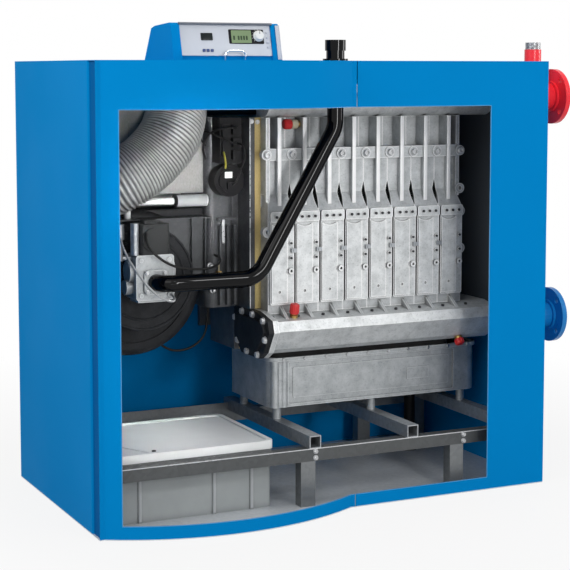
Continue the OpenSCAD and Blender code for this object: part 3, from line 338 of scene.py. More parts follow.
class Skin(Enum):
    """Procedural surface that a finish shows."""

    POWDER_COAT = "powder_coat"
    CAST_ALLOY = "cast_alloy"
    ZINC = "zinc_spangle"
    MOULDED = "moulded_plastic"
    FOIL = "creased_foil"
    FIBRE = "pressed_fibre"


class Graph:
    """Adds and links nodes in a shader tree."""

    def __init__(self, tree: bpy.types.NodeTree) -> None:
        """Keeps the tree to work on."""
        self.tree = tree

    def add(self, kind: str, settings: dict | None = None, **inputs: object) -> bpy.types.Node:
        """Adds a node.

        Args:
            kind: the node's type name.
            settings: attributes of the node.
            inputs: value, or output socket to link, for each input by name, spaces written _.

        Returns:
            The node.
        """
        node = self.tree.nodes.new(kind)
        for name, value in (settings or {}).items():
            setattr(node, name, value)
        for name, value in inputs.items():
            self.feed(node.inputs[name.replace("_", " ")], value)
        return node

    def feed(self, socket: bpy.types.NodeSocket, value: object) -> None:
        """Links an output to a socket, or sets the socket's own value."""
        if isinstance(value, bpy.types.NodeSocket):
            self.tree.links.new(value, socket)
        else:
            socket.default_value = value

    def noise(self, vector: object, scale: float, detail: float = 4.0, rough: float = 0.55) -> object:
        """Factor of a noise texture."""
        node = self.add("ShaderNodeTexNoise", None, Vector=vector, Scale=scale, Detail=detail,
                        Roughness=rough)
        return node.outputs["Fac"]

    def math(self, operation: str, first: object, second: object = 0.0) -> object:
        """Result of a two-value operation."""
        node = self.add("ShaderNodeMath", {"operation": operation})
        self.feed(node.inputs[0], first)
        self.feed(node.inputs[1], second)
        return node.outputs[0]

    def mix(self, factor: object, first: object, second: object) -> object:
        """Colour between two colours."""
        node = self.add("ShaderNodeMix", {"data_type": "RGBA"})
        self.feed(node.inputs[0], factor)
        self.feed(node.inputs[6], first)
        self.feed(node.inputs[7], second)
        return node.outputs[2]

    def ramp(self, value: object, low: float, high: float, start: float = 0.0,
             end: float = 1.0) -> object:
        """Value carried from one range to another and kept inside it."""
        node = self.add("ShaderNodeMapRange", None, Value=value)
        for name, number in (("From Min", low), ("From Max", high), ("To Min", start), ("To Max", end)):
            node.inputs[name].default_value = number
        return node.outputs[0]


GROUP_INPUTS = (("Vector", "NodeSocketVector"), ("Color", "NodeSocketColor"),
                ("Tone", "NodeSocketColor"), ("Smooth", "NodeSocketFloat"),
                ("Rough", "NodeSocketFloat"))
GROUP_OUTPUTS = (("Color", "NodeSocketColor"), ("Roughness", "NodeSocketFloat"),
                 ("Height", "NodeSocketFloat"))
# Painted shade in crevices and painted highlight on edges, put into the base colour by two occlusion
# tests
SHADE_AND_HIGHLIGHT_NAME = "crevice_shade_and_edge_highlight"
SHADE_AND_HIGHLIGHT_INPUTS = (("Color", "NodeSocketColor"), ("Dark", "NodeSocketColor"), ("Pale", "NodeSocketColor"),
               ("Crevice", "NodeSocketFloat"), ("Edge", "NodeSocketFloat"))
SHADE_AND_HIGHLIGHT_RAYS = 6
CREVICE_REACH = 0.035
EDGE_REACH = 0.004
# Shares of a finish's own colour for the painted shade in its grooves and crevices and the painted
# highlight on its edges
SHADE_SHARE = 0.12
HIGHLIGHT_SHARE = 1.9
HIGHLIGHT_LIMIT = 0.92


def new_group(name: str, inputs: tuple, outputs: tuple) -> bpy.types.NodeTree:
    """Empty shader node group with its named inputs and outputs."""
    tree = bpy.data.node_groups.new(name, "ShaderNodeTree")
    for way, sockets in (("INPUT", inputs), ("OUTPUT", outputs)):
        for label, kind in sockets:
            tree.interface.new_socket(name=label, in_out=way, socket_type=kind)
    return tree


class SkinGroups:
    """Shader node groups, one for each skin, built once.

    Every group turns a position, a main colour, a second tone and two roughnesses into a colour, a
    roughness and a height that change over the surface.
    """

    def __init__(self) -> None:
        """Starts with no group built."""
        self.built: dict[Skin, bpy.types.NodeTree] = {}

    def of(self, skin: Skin) -> bpy.types.NodeTree:
        """The group of a skin."""
        if skin not in self.built:
            self.built[skin] = self.build(skin)
        return self.built[skin]

    def build(self, skin: Skin) -> bpy.types.NodeTree:
        """Makes a skin's group with its sockets and its pattern."""
        tree = new_group(skin.value, GROUP_INPUTS, GROUP_OUTPUTS)
        graph = Graph(tree)
        inputs = graph.add("NodeGroupInput").outputs
        outputs = graph.add("NodeGroupOutput").inputs
        patterns = {Skin.POWDER_COAT: self.powder_coat, Skin.CAST_ALLOY: self.cast_alloy,
                    Skin.ZINC: self.zinc, Skin.MOULDED: self.moulded, Skin.FOIL: self.foil,
                    Skin.FIBRE: self.fibre}
        shade, gloss, height = patterns[skin](graph, inputs["Vector"])
        graph.feed(outputs["Color"], graph.mix(shade, inputs["Color"], inputs["Tone"]))
        span = graph.math("SUBTRACT", inputs["Rough"], inputs["Smooth"])
        graph.feed(outputs["Roughness"],
                   graph.math("ADD", inputs["Smooth"], graph.math("MULTIPLY", gloss, span)))
        graph.feed(outputs["Height"], height)
        return tree

    def shade_and_highlight(self) -> bpy.types.NodeTree:
        """Group that paints shade into crevices and a highlight onto edges, built once.

        Returns:
            The group. Near surfaces met from outside mark a crevice for painted shade, near ones met
            from inside the body mark an edge for a painted highlight.
        """
        known = bpy.data.node_groups.get(SHADE_AND_HIGHLIGHT_NAME)
        if known:
            return known
        tree = new_group(SHADE_AND_HIGHLIGHT_NAME, SHADE_AND_HIGHLIGHT_INPUTS, GROUP_OUTPUTS[:1])
        graph = Graph(tree)
        inputs = graph.add("NodeGroupInput").outputs
        # Painted shade where near surfaces close in, painted highlight where the body thins at an edge
        outer = graph.add("ShaderNodeAmbientOcclusion", {"samples": SHADE_AND_HIGHLIGHT_RAYS}, Distance=CREVICE_REACH)
        inside = {"samples": SHADE_AND_HIGHLIGHT_RAYS, "inside": True, "only_local": True}
        inner = graph.add("ShaderNodeAmbientOcclusion", inside, Distance=EDGE_REACH)
        crevice = graph.math("MULTIPLY", graph.ramp(outer.outputs["AO"], 0.2, 0.8, 1.0, 0.0),
                             inputs["Crevice"])
        edge = graph.math("MULTIPLY", graph.ramp(inner.outputs["AO"], 0.5, 0.95, 1.0, 0.0),
                          inputs["Edge"])
        dark = graph.mix(crevice, inputs["Color"], inputs["Dark"])
        graph.feed(graph.add("NodeGroupOutput").inputs["Color"], graph.mix(edge, dark, inputs["Pale"]))
        return tree

    @staticmethod
    def powder_coat(graph: Graph, place: object) -> tuple[object, object, object]:
        """Fine orange peel with faint broad clouds."""
        cloud = graph.ramp(graph.noise(place, 3.0, 2.0), 0.35, 0.65)
        peel = graph.noise(place, 900.0, 2.0)
        return graph.math("MULTIPLY", cloud, 0.35), cloud, peel

    @staticmethod
    def cast_alloy(graph: Graph, place: object) -> tuple[object, object, object]:
        """Sand grain with lighter and darker patches, and specks."""
        grain = graph.noise(place, 420.0, 3.0, 0.7)
        patch = graph.ramp(graph.noise(place, 22.0, 5.0, 0.65), 0.38, 0.72)
        speck = graph.ramp(graph.noise(place, 160.0, 2.0), 0.55, 0.75)
        shade = graph.math("ADD", graph.math("MULTIPLY", patch, 0.6),
                           graph.math("MULTIPLY", speck, 0.4))
        return shade, grain, graph.math("ADD", grain, graph.math("MULTIPLY", patch, 0.6))

    @staticmethod
    def zinc(graph: Graph, place: object) -> tuple[object, object, object]:
        """Zinc crystals, each with its own tone, over fine rolling marks."""
        cells = graph.add("ShaderNodeTexVoronoi", None, Vector=place, Scale=85.0)
        tone = graph.add("ShaderNodeSeparateColor", None, Color=cells.outputs["Color"]).outputs[0]
        haze = graph.noise(place, 9.0, 4.0)
        shade = graph.math("ADD", graph.math("MULTIPLY", tone, 0.45), graph.math("MULTIPLY", haze, 0.4))
        return shade, tone, graph.noise(place, 260.0, 2.0)

    @staticmethod
    def moulded(graph: Graph, place: object) -> tuple[object, object, object]:
        """Fine spark-eroded grain with slight uneven tone."""
        grain = graph.noise(place, 1400.0, 2.0)
        cloud = graph.ramp(graph.noise(place, 12.0, 3.0), 0.35, 0.7)
        return graph.math("MULTIPLY", cloud, 0.5), grain, grain

    @staticmethod
    def foil(graph: Graph, place: object) -> tuple[object, object, object]:
        """Small creases and dents of thin metal foil."""
        crease = graph.noise(place, 130.0, 3.0, 0.6)
        dent = graph.noise(place, 38.0, 2.0)
        shade = graph.ramp(dent, 0.35, 0.7)
        return graph.math("MULTIPLY", shade, 0.6), crease, graph.math("ADD", crease, dent)

    @staticmethod
    def fibre(graph: Graph, place: object) -> tuple[object, object, object]:
        """Short matted fibres."""
        stretched = graph.add("ShaderNodeMapping", None, Vector=place)
        stretched.inputs["Scale"].default_value = (1.0, 1.0, 0.25)
        fibre = graph.noise(stretched.outputs[0], 600.0, 4.0, 0.7)
        return graph.ramp(fibre, 0.35, 0.7), fibre, fibre


SKINS = SkinGroups()


@dataclass(frozen=True)
class Finish:
    """Material of a piece.

    Colours are linear. The roughness runs from smooth to rough over the skin's pattern, and bump is
    the height of its relief in metres. Crevice says how far painted shade darkens crevices and edge
    how far a painted highlight pales edges, and groove how far the piece's own depth attribute
    darkens it with painted shade.
    """

    name: str
    skin: Skin
    color: tuple[float, float, float]
    tone: tuple[float, float, float]
    smooth: float
    rough: float
    metallic: float = 0.0
    bump: float = 0.0001
    coat: float = 0.0
    specular: float = 0.5
    crevice: float = 0.0
    edge: float = 0.0
    groove: float = 0.0

    def material(self) -> bpy.types.Material:
        """The finish as a material, made on first use."""
        known = bpy.data.materials.get(self.name)
        return known if known else self.build()

    def build(self) -> bpy.types.Material:
        """Makes the material: object position through the skin's group into the shader."""
        made = bpy.data.materials.new(self.name)
        made.use_nodes = True
        graph = Graph(made.node_tree)
        shader = made.node_tree.nodes["Principled BSDF"]
        place = graph.add("ShaderNodeTexCoord").outputs["Object"]
        skin = graph.add("ShaderNodeGroup", {"node_tree": SKINS.of(self.skin)}, Vector=place,
                         Color=(*self.color, 1.0), Tone=(*self.tone, 1.0), Smooth=self.smooth,
                         Rough=self.rough)
        relief = graph.add("ShaderNodeBump", None, Height=skin.outputs["Height"], Distance=self.bump)
        color = skin.outputs["Color"]
        # Colours of the painted shade and of the painted highlight
        dark = (*(SHADE_SHARE * np.array(self.color)), 1.0)
        pale = (*np.minimum(HIGHLIGHT_SHARE * np.array(self.color), HIGHLIGHT_LIMIT), 1.0)
        # Painted shade in the grooves, from the piece's depth attribute
        if self.groove:
            depth = graph.add("ShaderNodeAttribute", {"attribute_name": "depth"}).outputs["Fac"]
            color = graph.mix(graph.math("MULTIPLY", depth, self.groove), color, dark)
        # Painted shade in crevices and painted highlight on edges
        if self.crevice or self.edge:
            color = graph.add(
                "ShaderNodeGroup", {"node_tree": SKINS.shade_and_highlight()}, Color=color, Crevice=self.crevice,
                Edge=self.edge, Dark=dark, Pale=pale).outputs["Color"]
        graph.feed(shader.inputs["Base Color"], color)
        graph.feed(shader.inputs["Roughness"], skin.outputs["Roughness"])
        graph.feed(shader.inputs["Normal"], relief.outputs["Normal"])
        shader.inputs["Metallic"].default_value = self.metallic
        shader.inputs["Coat Weight"].default_value = self.coat
        shader.inputs["Specular IOR Level"].default_value = self.specular
        return made


BLUE_COAT = Finish("blue_coat", Skin.POWDER_COAT, (0.001, 0.200, 0.505), (0.001, 0.186, 0.478),
                   0.34, 0.44, bump=0.00004, specular=0.003)
# Painted shade: darker copy of the blue coat for the recessed corner posts
BLUE_PAINTED_SHADE = Finish("blue_painted_shade", Skin.POWDER_COAT, (0.001, 0.095, 0.290), (0.001, 0.085, 0.260),
                    0.42, 0.52, bump=0.00004, specular=0.004)
ALLOY = Finish("cast_alloy_grey", Skin.CAST_ALLOY, (0.56, 0.58, 0.59), (0.25, 0.27, 0.28),
               0.38, 0.58, metallic=0.4, bump=0.0006, crevice=0.4, edge=0.85)
# Painted light: lighter copy of the cast aluminium for the covers, manifolds and rib faces
ALLOY_PAINTED_LIGHT = Finish("cast_alloy_painted_light", Skin.CAST_ALLOY, (0.70, 0.72, 0.725), (0.30, 0.32, 0.325),
                      0.36, 0.55, metallic=0.4, bump=0.0004, crevice=1.0, edge=0.85)
# Duller, darker copy of the cast aluminium; its darkness on the tray is painted shade
ALLOY_DULL_PAINTED_SHADE = Finish("cast_alloy_dull_painted_shade", Skin.CAST_ALLOY, (0.47, 0.49, 0.50), (0.21, 0.23, 0.24),
                    0.42, 0.62, metallic=0.5, bump=0.0006, crevice=0.7, edge=0.4)
ZINC_SHEET = Finish("zinc_sheet", Skin.ZINC, (0.44, 0.46, 0.48), (0.28, 0.30, 0.32),
                    0.30, 0.48, metallic=0.75, bump=0.00005)
ZINC_FLOOR = Finish("zinc_floor", Skin.ZINC, (0.62, 0.65, 0.68), (0.52, 0.55, 0.58),
                    0.36, 0.54, metallic=0.25, bump=0.00005)
# Painted shade: darker copy of the frame's zinc for the front rail
RAIL_PAINTED_SHADE = Finish("rail_painted_shade", Skin.ZINC, (0.080, 0.085, 0.087), (0.058, 0.062, 0.064),
                   0.36, 0.52, metallic=0.4, bump=0.00005)
ZINC_RAIL = Finish("zinc_rail", Skin.ZINC, (0.19, 0.20, 0.205), (0.15, 0.16, 0.165),
                   0.34, 0.50, metallic=0.6, bump=0.00005)
# Groove adds painted shade in the corrugation's grooves
DUCT_FOIL = Finish("duct_foil", Skin.FOIL, (0.56, 0.565, 0.56), (0.36, 0.365, 0.36),
                   0.28, 0.44, metallic=0.45, bump=0.0006, groove=0.9)
BLACK_PAINT = Finish("black_paint", Skin.POWDER_COAT, (0.001, 0.001, 0.0015), (0.002, 0.002, 0.003),
                     0.03, 0.06, bump=0.00001, specular=0.18)
BLACK_IRON = Finish("black_iron", Skin.CAST_ALLOY, (0.014, 0.015, 0.017), (0.034, 0.036, 0.040),
                    0.36, 0.55, bump=0.0004, specular=0.12)
BLACK_PLASTIC = Finish("moulded_black", Skin.MOULDED, (0.007, 0.007, 0.008), (0.013, 0.013, 0.014),
                       0.36, 0.50, bump=0.00005, specular=0.1)
COIL_GREY = Finish("coil_grey", Skin.MOULDED, (0.034, 0.036, 0.037), (0.026, 0.028, 0.029),
                   0.40, 0.55, bump=0.00005, specular=0.15)
DARK_SEAL = Finish("dark_seal", Skin.MOULDED, (0.015, 0.015, 0.015), (0.03, 0.03, 0.03),
                   0.70, 0.85, bump=0.0002, specular=0.1)
GREY_MAT = Finish("grey_mat", Skin.FIBRE, (0.30, 0.30, 0.297), (0.20, 0.20, 0.197),
                  0.75, 0.90, bump=0.0006, crevice=0.8)
LIGHT_MAT = Finish("light_mat", Skin.FIBRE, (0.74, 0.74, 0.74), (0.64, 0.64, 0.64),
                   0.75, 0.90, bump=0.0006)
# Painted shade: dark copy of the lining mat for the shaded right side of the casing
MAT_PAINTED_SHADE = Finish("mat_painted_shade", Skin.FIBRE, (0.082, 0.098, 0.118), (0.108, 0.126, 0.148),
                  0.75, 0.90, bump=0.0006)
RED_PAINT = Finish("red_paint", Skin.POWDER_COAT, (0.860, 0.026, 0.042), (0.780, 0.020, 0.034),
                   0.24, 0.34, bump=0.00005, coat=0.1, specular=0.3)
BLUE_PAINT = Finish("blue_paint", Skin.POWDER_COAT, (0.005, 0.185, 0.500), (0.004, 0.160, 0.450),
                    0.26, 0.36, bump=0.00005, coat=0.1, specular=0.25)
STEEL = Finish("bare_steel", Skin.ZINC, (0.52, 0.53, 0.54), (0.36, 0.37, 0.38),
               0.22, 0.38, metallic=1.0, bump=0.00004)
DARK_STEEL = Finish("dark_steel", Skin.ZINC, (0.060, 0.062, 0.066), (0.035, 0.036, 0.040),
                    0.30, 0.45, metallic=0.6, bump=0.00004)
BRASS = Finish("brass", Skin.CAST_ALLOY, (0.56, 0.38, 0.14), (0.42, 0.27, 0.09),
               0.25, 0.42, metallic=1.0, bump=0.0001)
FIBRE_BOARD = Finish("fibre_board", Skin.FIBRE, (0.58, 0.46, 0.20), (0.44, 0.34, 0.13),
                     0.80, 0.92, bump=0.0005)
WHITE_PLASTIC = Finish("moulded_white", Skin.MOULDED, (0.82, 0.84, 0.84), (0.74, 0.76, 0.76),
                       0.36, 0.48, bump=0.00005, specular=0.2, crevice=0.6)
# Painted shade: darker copy of the white plastic for the neutraliser box below its lid
BOX_PAINTED_SHADE = Finish("box_white_painted_shade", Skin.MOULDED, (0.34, 0.36, 0.36), (0.28, 0.30, 0.30),
                   0.36, 0.48, bump=0.00005, specular=0.2, crevice=0.6)
PANEL_SILVER = Finish("panel_silver", Skin.MOULDED, (0.43, 0.45, 0.49), (0.38, 0.40, 0.44),
                      0.30, 0.42, metallic=0.25, bump=0.00003)
TRIM_GREY = Finish("trim_grey", Skin.MOULDED, (0.46, 0.48, 0.53), (0.40, 0.42, 0.47),
                   0.34, 0.46, bump=0.00003)
TRIM_DARK = Finish("trim_dark", Skin.MOULDED, (0.13, 0.14, 0.16), (0.10, 0.11, 0.13),
                   0.34, 0.46, bump=0.00003)
CHROME = Finish("chrome", Skin.POWDER_COAT, (0.78, 0.79, 0.80), (0.74, 0.75, 0.76),
                0.06, 0.10, metallic=1.0, bump=0.00001)
CRYSTAL_GREEN = Finish("crystal_green", Skin.MOULDED, (0.19, 0.27, 0.13), (0.15, 0.22, 0.10),
                       0.12, 0.20, bump=0.00001)
DARK_GLASS = Finish("dark_glass", Skin.MOULDED, (0.016, 0.020, 0.020), (0.010, 0.013, 0.013),
                    0.18, 0.26, bump=0.00001, specular=0.08)
CRYSTAL_DARK = Finish("crystal_dark", Skin.MOULDED, (0.050, 0.075, 0.040), (0.040, 0.062, 0.032),
                      0.20, 0.30, bump=0.00001, specular=0.1)
KNOB_WHITE = Finish("knob_white", Skin.MOULDED, (0.72, 0.72, 0.70), (0.66, 0.66, 0.64),
                    0.25, 0.35, bump=0.00002)
BUTTON_BLUE = Finish("button_blue", Skin.MOULDED, (0.008, 0.035, 0.150), (0.006, 0.028, 0.120),
                     0.30, 0.40, bump=0.00002)
RED_PLASTIC = Finish("red_plastic", Skin.MOULDED, (0.62, 0.020, 0.022), (0.50, 0.012, 0.014),
                     0.30, 0.42, bump=0.00003)
CREAM_PLASTIC = Finish("cream_plastic", Skin.MOULDED, (0.62, 0.56, 0.40), (0.54, 0.48, 0.33),
                       0.38, 0.50, bump=0.00003)
YELLOW_LEAD = Finish("yellow_lead", Skin.MOULDED, (0.48, 0.42, 0.05), (0.38, 0.36, 0.04),
                     0.40, 0.52, bump=0.00002)
GREY_HOSE = Finish("grey_hose", Skin.MOULDED, (0.40, 0.41, 0.42), (0.32, 0.33, 0.34),
                   0.40, 0.55, bump=0.00003)
# Painted highlight: paler copy of the blue coat for the window's cut edge
BLUE_PAINTED_HIGHLIGHT = Finish("blue_painted_highlight", Skin.POWDER_COAT, (0.06, 0.27, 0.53), (0.05, 0.24, 0.48),
                   0.36, 0.48, bump=0.00002)
CABLE_BLACK = Finish("cable_black", Skin.MOULDED, (0.012, 0.012, 0.012), (0.020, 0.020, 0.020),
                     0.42, 0.55, bump=0.00003, specular=0.2)
GREY_STEEL = Finish("grey_steel", Skin.ZINC, (0.070, 0.074, 0.078), (0.036, 0.038, 0.041),
                    0.28, 0.44, metallic=0.6, bump=0.00005)
HOOD_PAINT = Finish("hood_paint", Skin.CAST_ALLOY, (0.050, 0.053, 0.058), (0.125, 0.130, 0.137),
                    0.24, 0.42, bump=0.0003, specular=0.25)
LID_WHITE = Finish("lid_white", Skin.MOULDED, (0.80, 0.82, 0.82), (0.74, 0.76, 0.76),
                   0.36, 0.48, bump=0.00005, specular=0.2, crevice=0.2)
BRIGHT_ZINC = Finish("bright_zinc", Skin.ZINC, (0.66, 0.67, 0.68), (0.50, 0.51, 0.52),
                     0.24, 0.40, metallic=0.35, bump=0.00003)
# Painted shade: near-black for the backs inside the slits
SLIT_PAINTED_SHADE = Finish("slit_painted_shade", Skin.MOULDED, (0.004, 0.004, 0.004), (0.007, 0.007, 0.007),
                   0.80, 0.92, specular=0.05)

NODE_FINISHES: dict[Finish, tuple[str, ...]] = {
    BLUE_COAT: ("left_side_panel", "right_side_panel", "rear_panel", "top_panel",
                "front_panel_left", "front_panel_right", "controller_housing"),
    # Corner posts get the darker blue as painted shade
    BLUE_PAINTED_SHADE: ("corner_posts",),
    # Front rail gets the darker zinc as painted shade
    RAIL_PAINTED_SHADE: ("front_rail",),
    ZINC_RAIL: ("frame_legs", "rear_rail"),
    ZINC_SHEET: ("head_rail_bar", "cross_rails", "fan_inlet_box", "air_collar", "flue_collector",
                 "flue_spigot", "pressure_switch", "cover_clamps"),
    ZINC_FLOOR: ("base_pan",),
    GREY_STEEL: ("fan_plate",),
    ALLOY: tuple(f"section_{i}" for i in range(1, 9)),
    # Covers and manifolds get the lighter alloy as painted light
    ALLOY_PAINTED_LIGHT: ("cleaning_covers", "flow_manifold", "return_manifold"),
    # Tray and valve get the darker alloy, painted shade on the tray
    ALLOY_DULL_PAINTED_SHADE: ("condensate_tray", "gas_valve"),
    DUCT_FOIL: ("air_duct",),
    BLACK_PAINT: ("gas_pipe", "gas_inlet"),
    BLACK_IRON: ("manifold_end_cover", "fan_housing", "venturi"),
    HOOD_PAINT: ("burner_hood",),
    BLACK_PLASTIC: ("burner_control", "ignition_unit", "condensate_drain"),
    COIL_GREY: ("valve_solenoid",),
    DARK_SEAL: ("tray_seal",),
    LIGHT_MAT: ("lining_light",),
    # Right lining gets the dark mat as painted shade
    MAT_PAINTED_SHADE: ("lining_dark",),
    RED_PAINT: ("flow_connection",),
    BLUE_PAINT: ("return_connection",),
    STEEL: ("safety_thread",),
    FIBRE_BOARD: ("insulating_board",),
    # Neutraliser box gets the darker white as painted shade
    BOX_PAINTED_SHADE: ("neutraliser_box",),
    LID_WHITE: ("neutraliser_lid",),
    WHITE_PLASTIC: ("air_tube",),
    PANEL_SILVER: ("control_panel",),
    CRYSTAL_GREEN: ("control_display",),
    KNOB_WHITE: ("control_knob",),
}


def dress_nodes() -> None:
    """Gives every CAD node its finish."""
    for finish, names in NODE_FINISHES.items():
        for name in names:
            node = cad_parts[name]
            node.data.materials.clear()
            node.data.materials.append(finish.material())


# Sub-assemblies

FRONT = (0.0, -1.0, 0.0)
REAR = (0.0, 1.0, 0.0)
LEFT = (-1.0, 0.0, 0.0)
RIGHT = (1.0, 0.0, 0.0)
UP = (0.0, 0.0, 1.0)


def screws(name: str, kind: Head, size: float, points: Array, normal: tuple[float, float, float],
           finish: Finish = STEEL) -> None:
    """One piece with a screw head at each point, all looking along one normal."""
    surface = screw_head(kind, size).repeated(facing(points, normal))
    make_piece(name, surface, finish)


def turned(name: str, place: Array, axis: tuple[float, float, float], profile: list, finish: Finish,
           flutes: int = 0) -> None:
    """Turned piece standing on a place along an axis, with grip flutes where it has them."""
    body = revolved(profile, 48 if flutes else 28, flutes, 0.04 if flutes else 0.0)
    make_piece(name, body.repeated(facing(place[None], axis)), finish)


def lead(name: str, points: Array, radius: float, finish: Finish) -> None:
    """Held lead or hose of a radius in millimetres on a smooth curve through its points."""
    path = evenly_spaced(smooth_route(points, 16), 6 * MM)
    make_piece(name, sweep(path, radius * MM, 14), finish, 60)


def front_pads(name: str, size: tuple, points: list, finish: Finish) -> None:
    """Pads of one size (width, height, depth, corner, bevel) that look to the front."""
    make_piece(name, pad(*size).repeated(facing(places(*points), FRONT)), finish)


def strip(name: str, path: Array, aside: tuple, out: tuple, profile: list, finish: Finish) -> None:
    """Strip along a path whose profile keeps the same two directions all the way."""
    ways = [np.tile(way, (len(path), 1)) for way in (aside, out)]
    make_piece(name, profile_along(path, *ways, profile), finish)


def rounded_path(corners: Array, bend: float, steps: int = 14) -> Array:
    """Points along straight runs with an arc at each corner.

    An arc starts bend * tan(turn / 2) before its corner and follows
    start + bend * (into * sin a + aside * (1 - cos a)).
    """
    points = [corners[:1]]
    for before, corner, after in zip(corners, corners[1:], corners[2:]):
        into = (corner - before) / np.linalg.norm(corner - before)
        out = (after - corner) / np.linalg.norm(after - corner)
        turn = math.acos(float(np.clip(into @ out, -1.0, 1.0)))
        aside = out - (out @ into) * into
        aside /= np.linalg.norm(aside)
        angle = np.linspace(0.0, turn, steps)[:, None]
        start = corner - into * bend * math.tan(turn / 2.0)
        points.append(start + bend * (into * np.sin(angle) + aside * (1.0 - np.cos(angle))))
    points.append(corners[-1:])
    return np.concatenate(points)


@dataclass
class Casing:
    """Edge round the window that is cut through the front, paler blue as a painted highlight, and the
    rear panel's screws.
    """

    left: float = 61
    right: float = 1332
    low: float = 42
    high: float = 1258
    door_end: float = 828
    door_w: float = 843
    panel_gap: float = 3
    bow_radius: float = 806.1
    bow_x: float = 421.5
    bow_y: float = 696.1
    depth: float = 820.3
    screw_rows: tuple = (26.0, 1376.0)
    screw_columns: tuple = (22.0, 1530.0)
    edge_steps: int = 64
    edge: tuple = ((-0.8, -2.3), (-0.1, -2.3), (-0.1, 0.1), (1.2, 0.1), (1.2, 0.5), (-0.8, 0.5))

    def front(self, x: Array, z: float) -> tuple[Array, Array]:
        """Points of the front panels' outside, with its normals.

        On the bow Y is the centre's Y less the root of radius squared less the offset squared.
        """
        bowed = x < self.door_end
        offset = np.where(bowed, x - self.bow_x, 0.0)
        y = np.where(bowed, self.bow_y - np.sqrt(self.bow_radius**2 - offset**2), 0.0)
        points = CABINET + MM * np.stack([x, y, np.full_like(x, z)], axis=-1)
        normals = np.stack([offset, np.where(bowed, y - self.bow_y, -1.0), np.zeros_like(x)], axis=-1)
        return points, normals / np.linalg.norm(normals, axis=1, keepdims=True)

    def edge_strip(self, start: float, corner: float) -> Surface:
        """Edge from the gap between the panels along the bottom, up one side and back."""
        x = np.linspace(start, corner, self.edge_steps)
        low, normals = self.front(x, self.low)
        high, _ = self.front(x[::-1], self.high)
        down = np.tile((0.0, 0.0, -1.0), (self.edge_steps, 1))
        side = low[-1] - low[-2]
        down[-1] += side / np.linalg.norm(side)
        over = down[::-1] * (1.0, 1.0, -1.0)
        return profile_along(np.concatenate([low, high]), np.concatenate([down, over]),
                             np.concatenate([normals, normals[::-1]]), self.edge)

    def build(self) -> None:
        """Makes the window's edge and the screws along the rear panel."""
        parts = [self.edge_strip(self.door_w, self.left),
                 self.edge_strip(self.door_w + self.panel_gap, self.right)]
        # Paler blue edge strip: painted highlight on the cut edge
        make_piece("window_edge_highlight", joined(parts), BLUE_PAINTED_HIGHLIGHT)
        across = np.linspace(30, 1522, 7)
        upward = np.linspace(260, 1140, 5)
        rows = [(x, self.depth, z) for x in across for z in self.screw_rows]
        rows += [(x, self.depth, z) for x in self.screw_columns for z in upward]
        screws("rear_screws", Head.PAN, 5.0, places(*rows), REAR)


@dataclass
class FrameAndTray:
    """Screws of the angle legs and of the tray's band, a painted highlight strip on the rail's edge,
    and the rear angle.
    """

    leg_x: tuple = (734.0, 1278.0)
    leg_z: tuple = (157.0, 178.0)
    rail_x: tuple = (48.0, 1504.0)
    rail_y: float = 60
    rail_z: float = 187
    rear_x: tuple = (50.0, 712.0)
    rear_y: float = 700
    band_y: float = 299
    band_z: float = 429
    band_x: tuple = (735.0, 1440.0)
    band_screws: int = 10

    def build(self) -> None:
        """Puts screws at the legs and along the tray's band, with a bright strip as a painted highlight
        on the rail's edge, and the angle.
        """
        legs = [(x, self.rail_y, z) for x in self.leg_x for z in self.leg_z]
        screws("leg_screws", Head.HEX, 8.0, places(*legs), FRONT)
        # Painted highlight: bright zinc strip along the rail's top front edge
        rail = places(*[(x, self.rail_y, self.rail_z) for x in self.rail_x])
        strip("rail_edge_highlight", rail, UP, FRONT, [(-2.5, 0), (0.7, 0), (0.7, 0.8), (-1.7, 0.8)],
              BRIGHT_ZINC)
        rear = places(*[(x, self.rear_y, self.rail_z) for x in self.rear_x])
        strip("rear_angle", rear, UP, FRONT,
              [(0, 0), (26, 0), (26, -3), (3, -3), (3, -38), (0, -38)], ZINC_RAIL)
        band = [(x, self.band_y, self.band_z) for x in np.linspace(*self.band_x, self.band_screws)]
        screws("tray_screws", Head.HEX, 5.0, places(*band), FRONT)


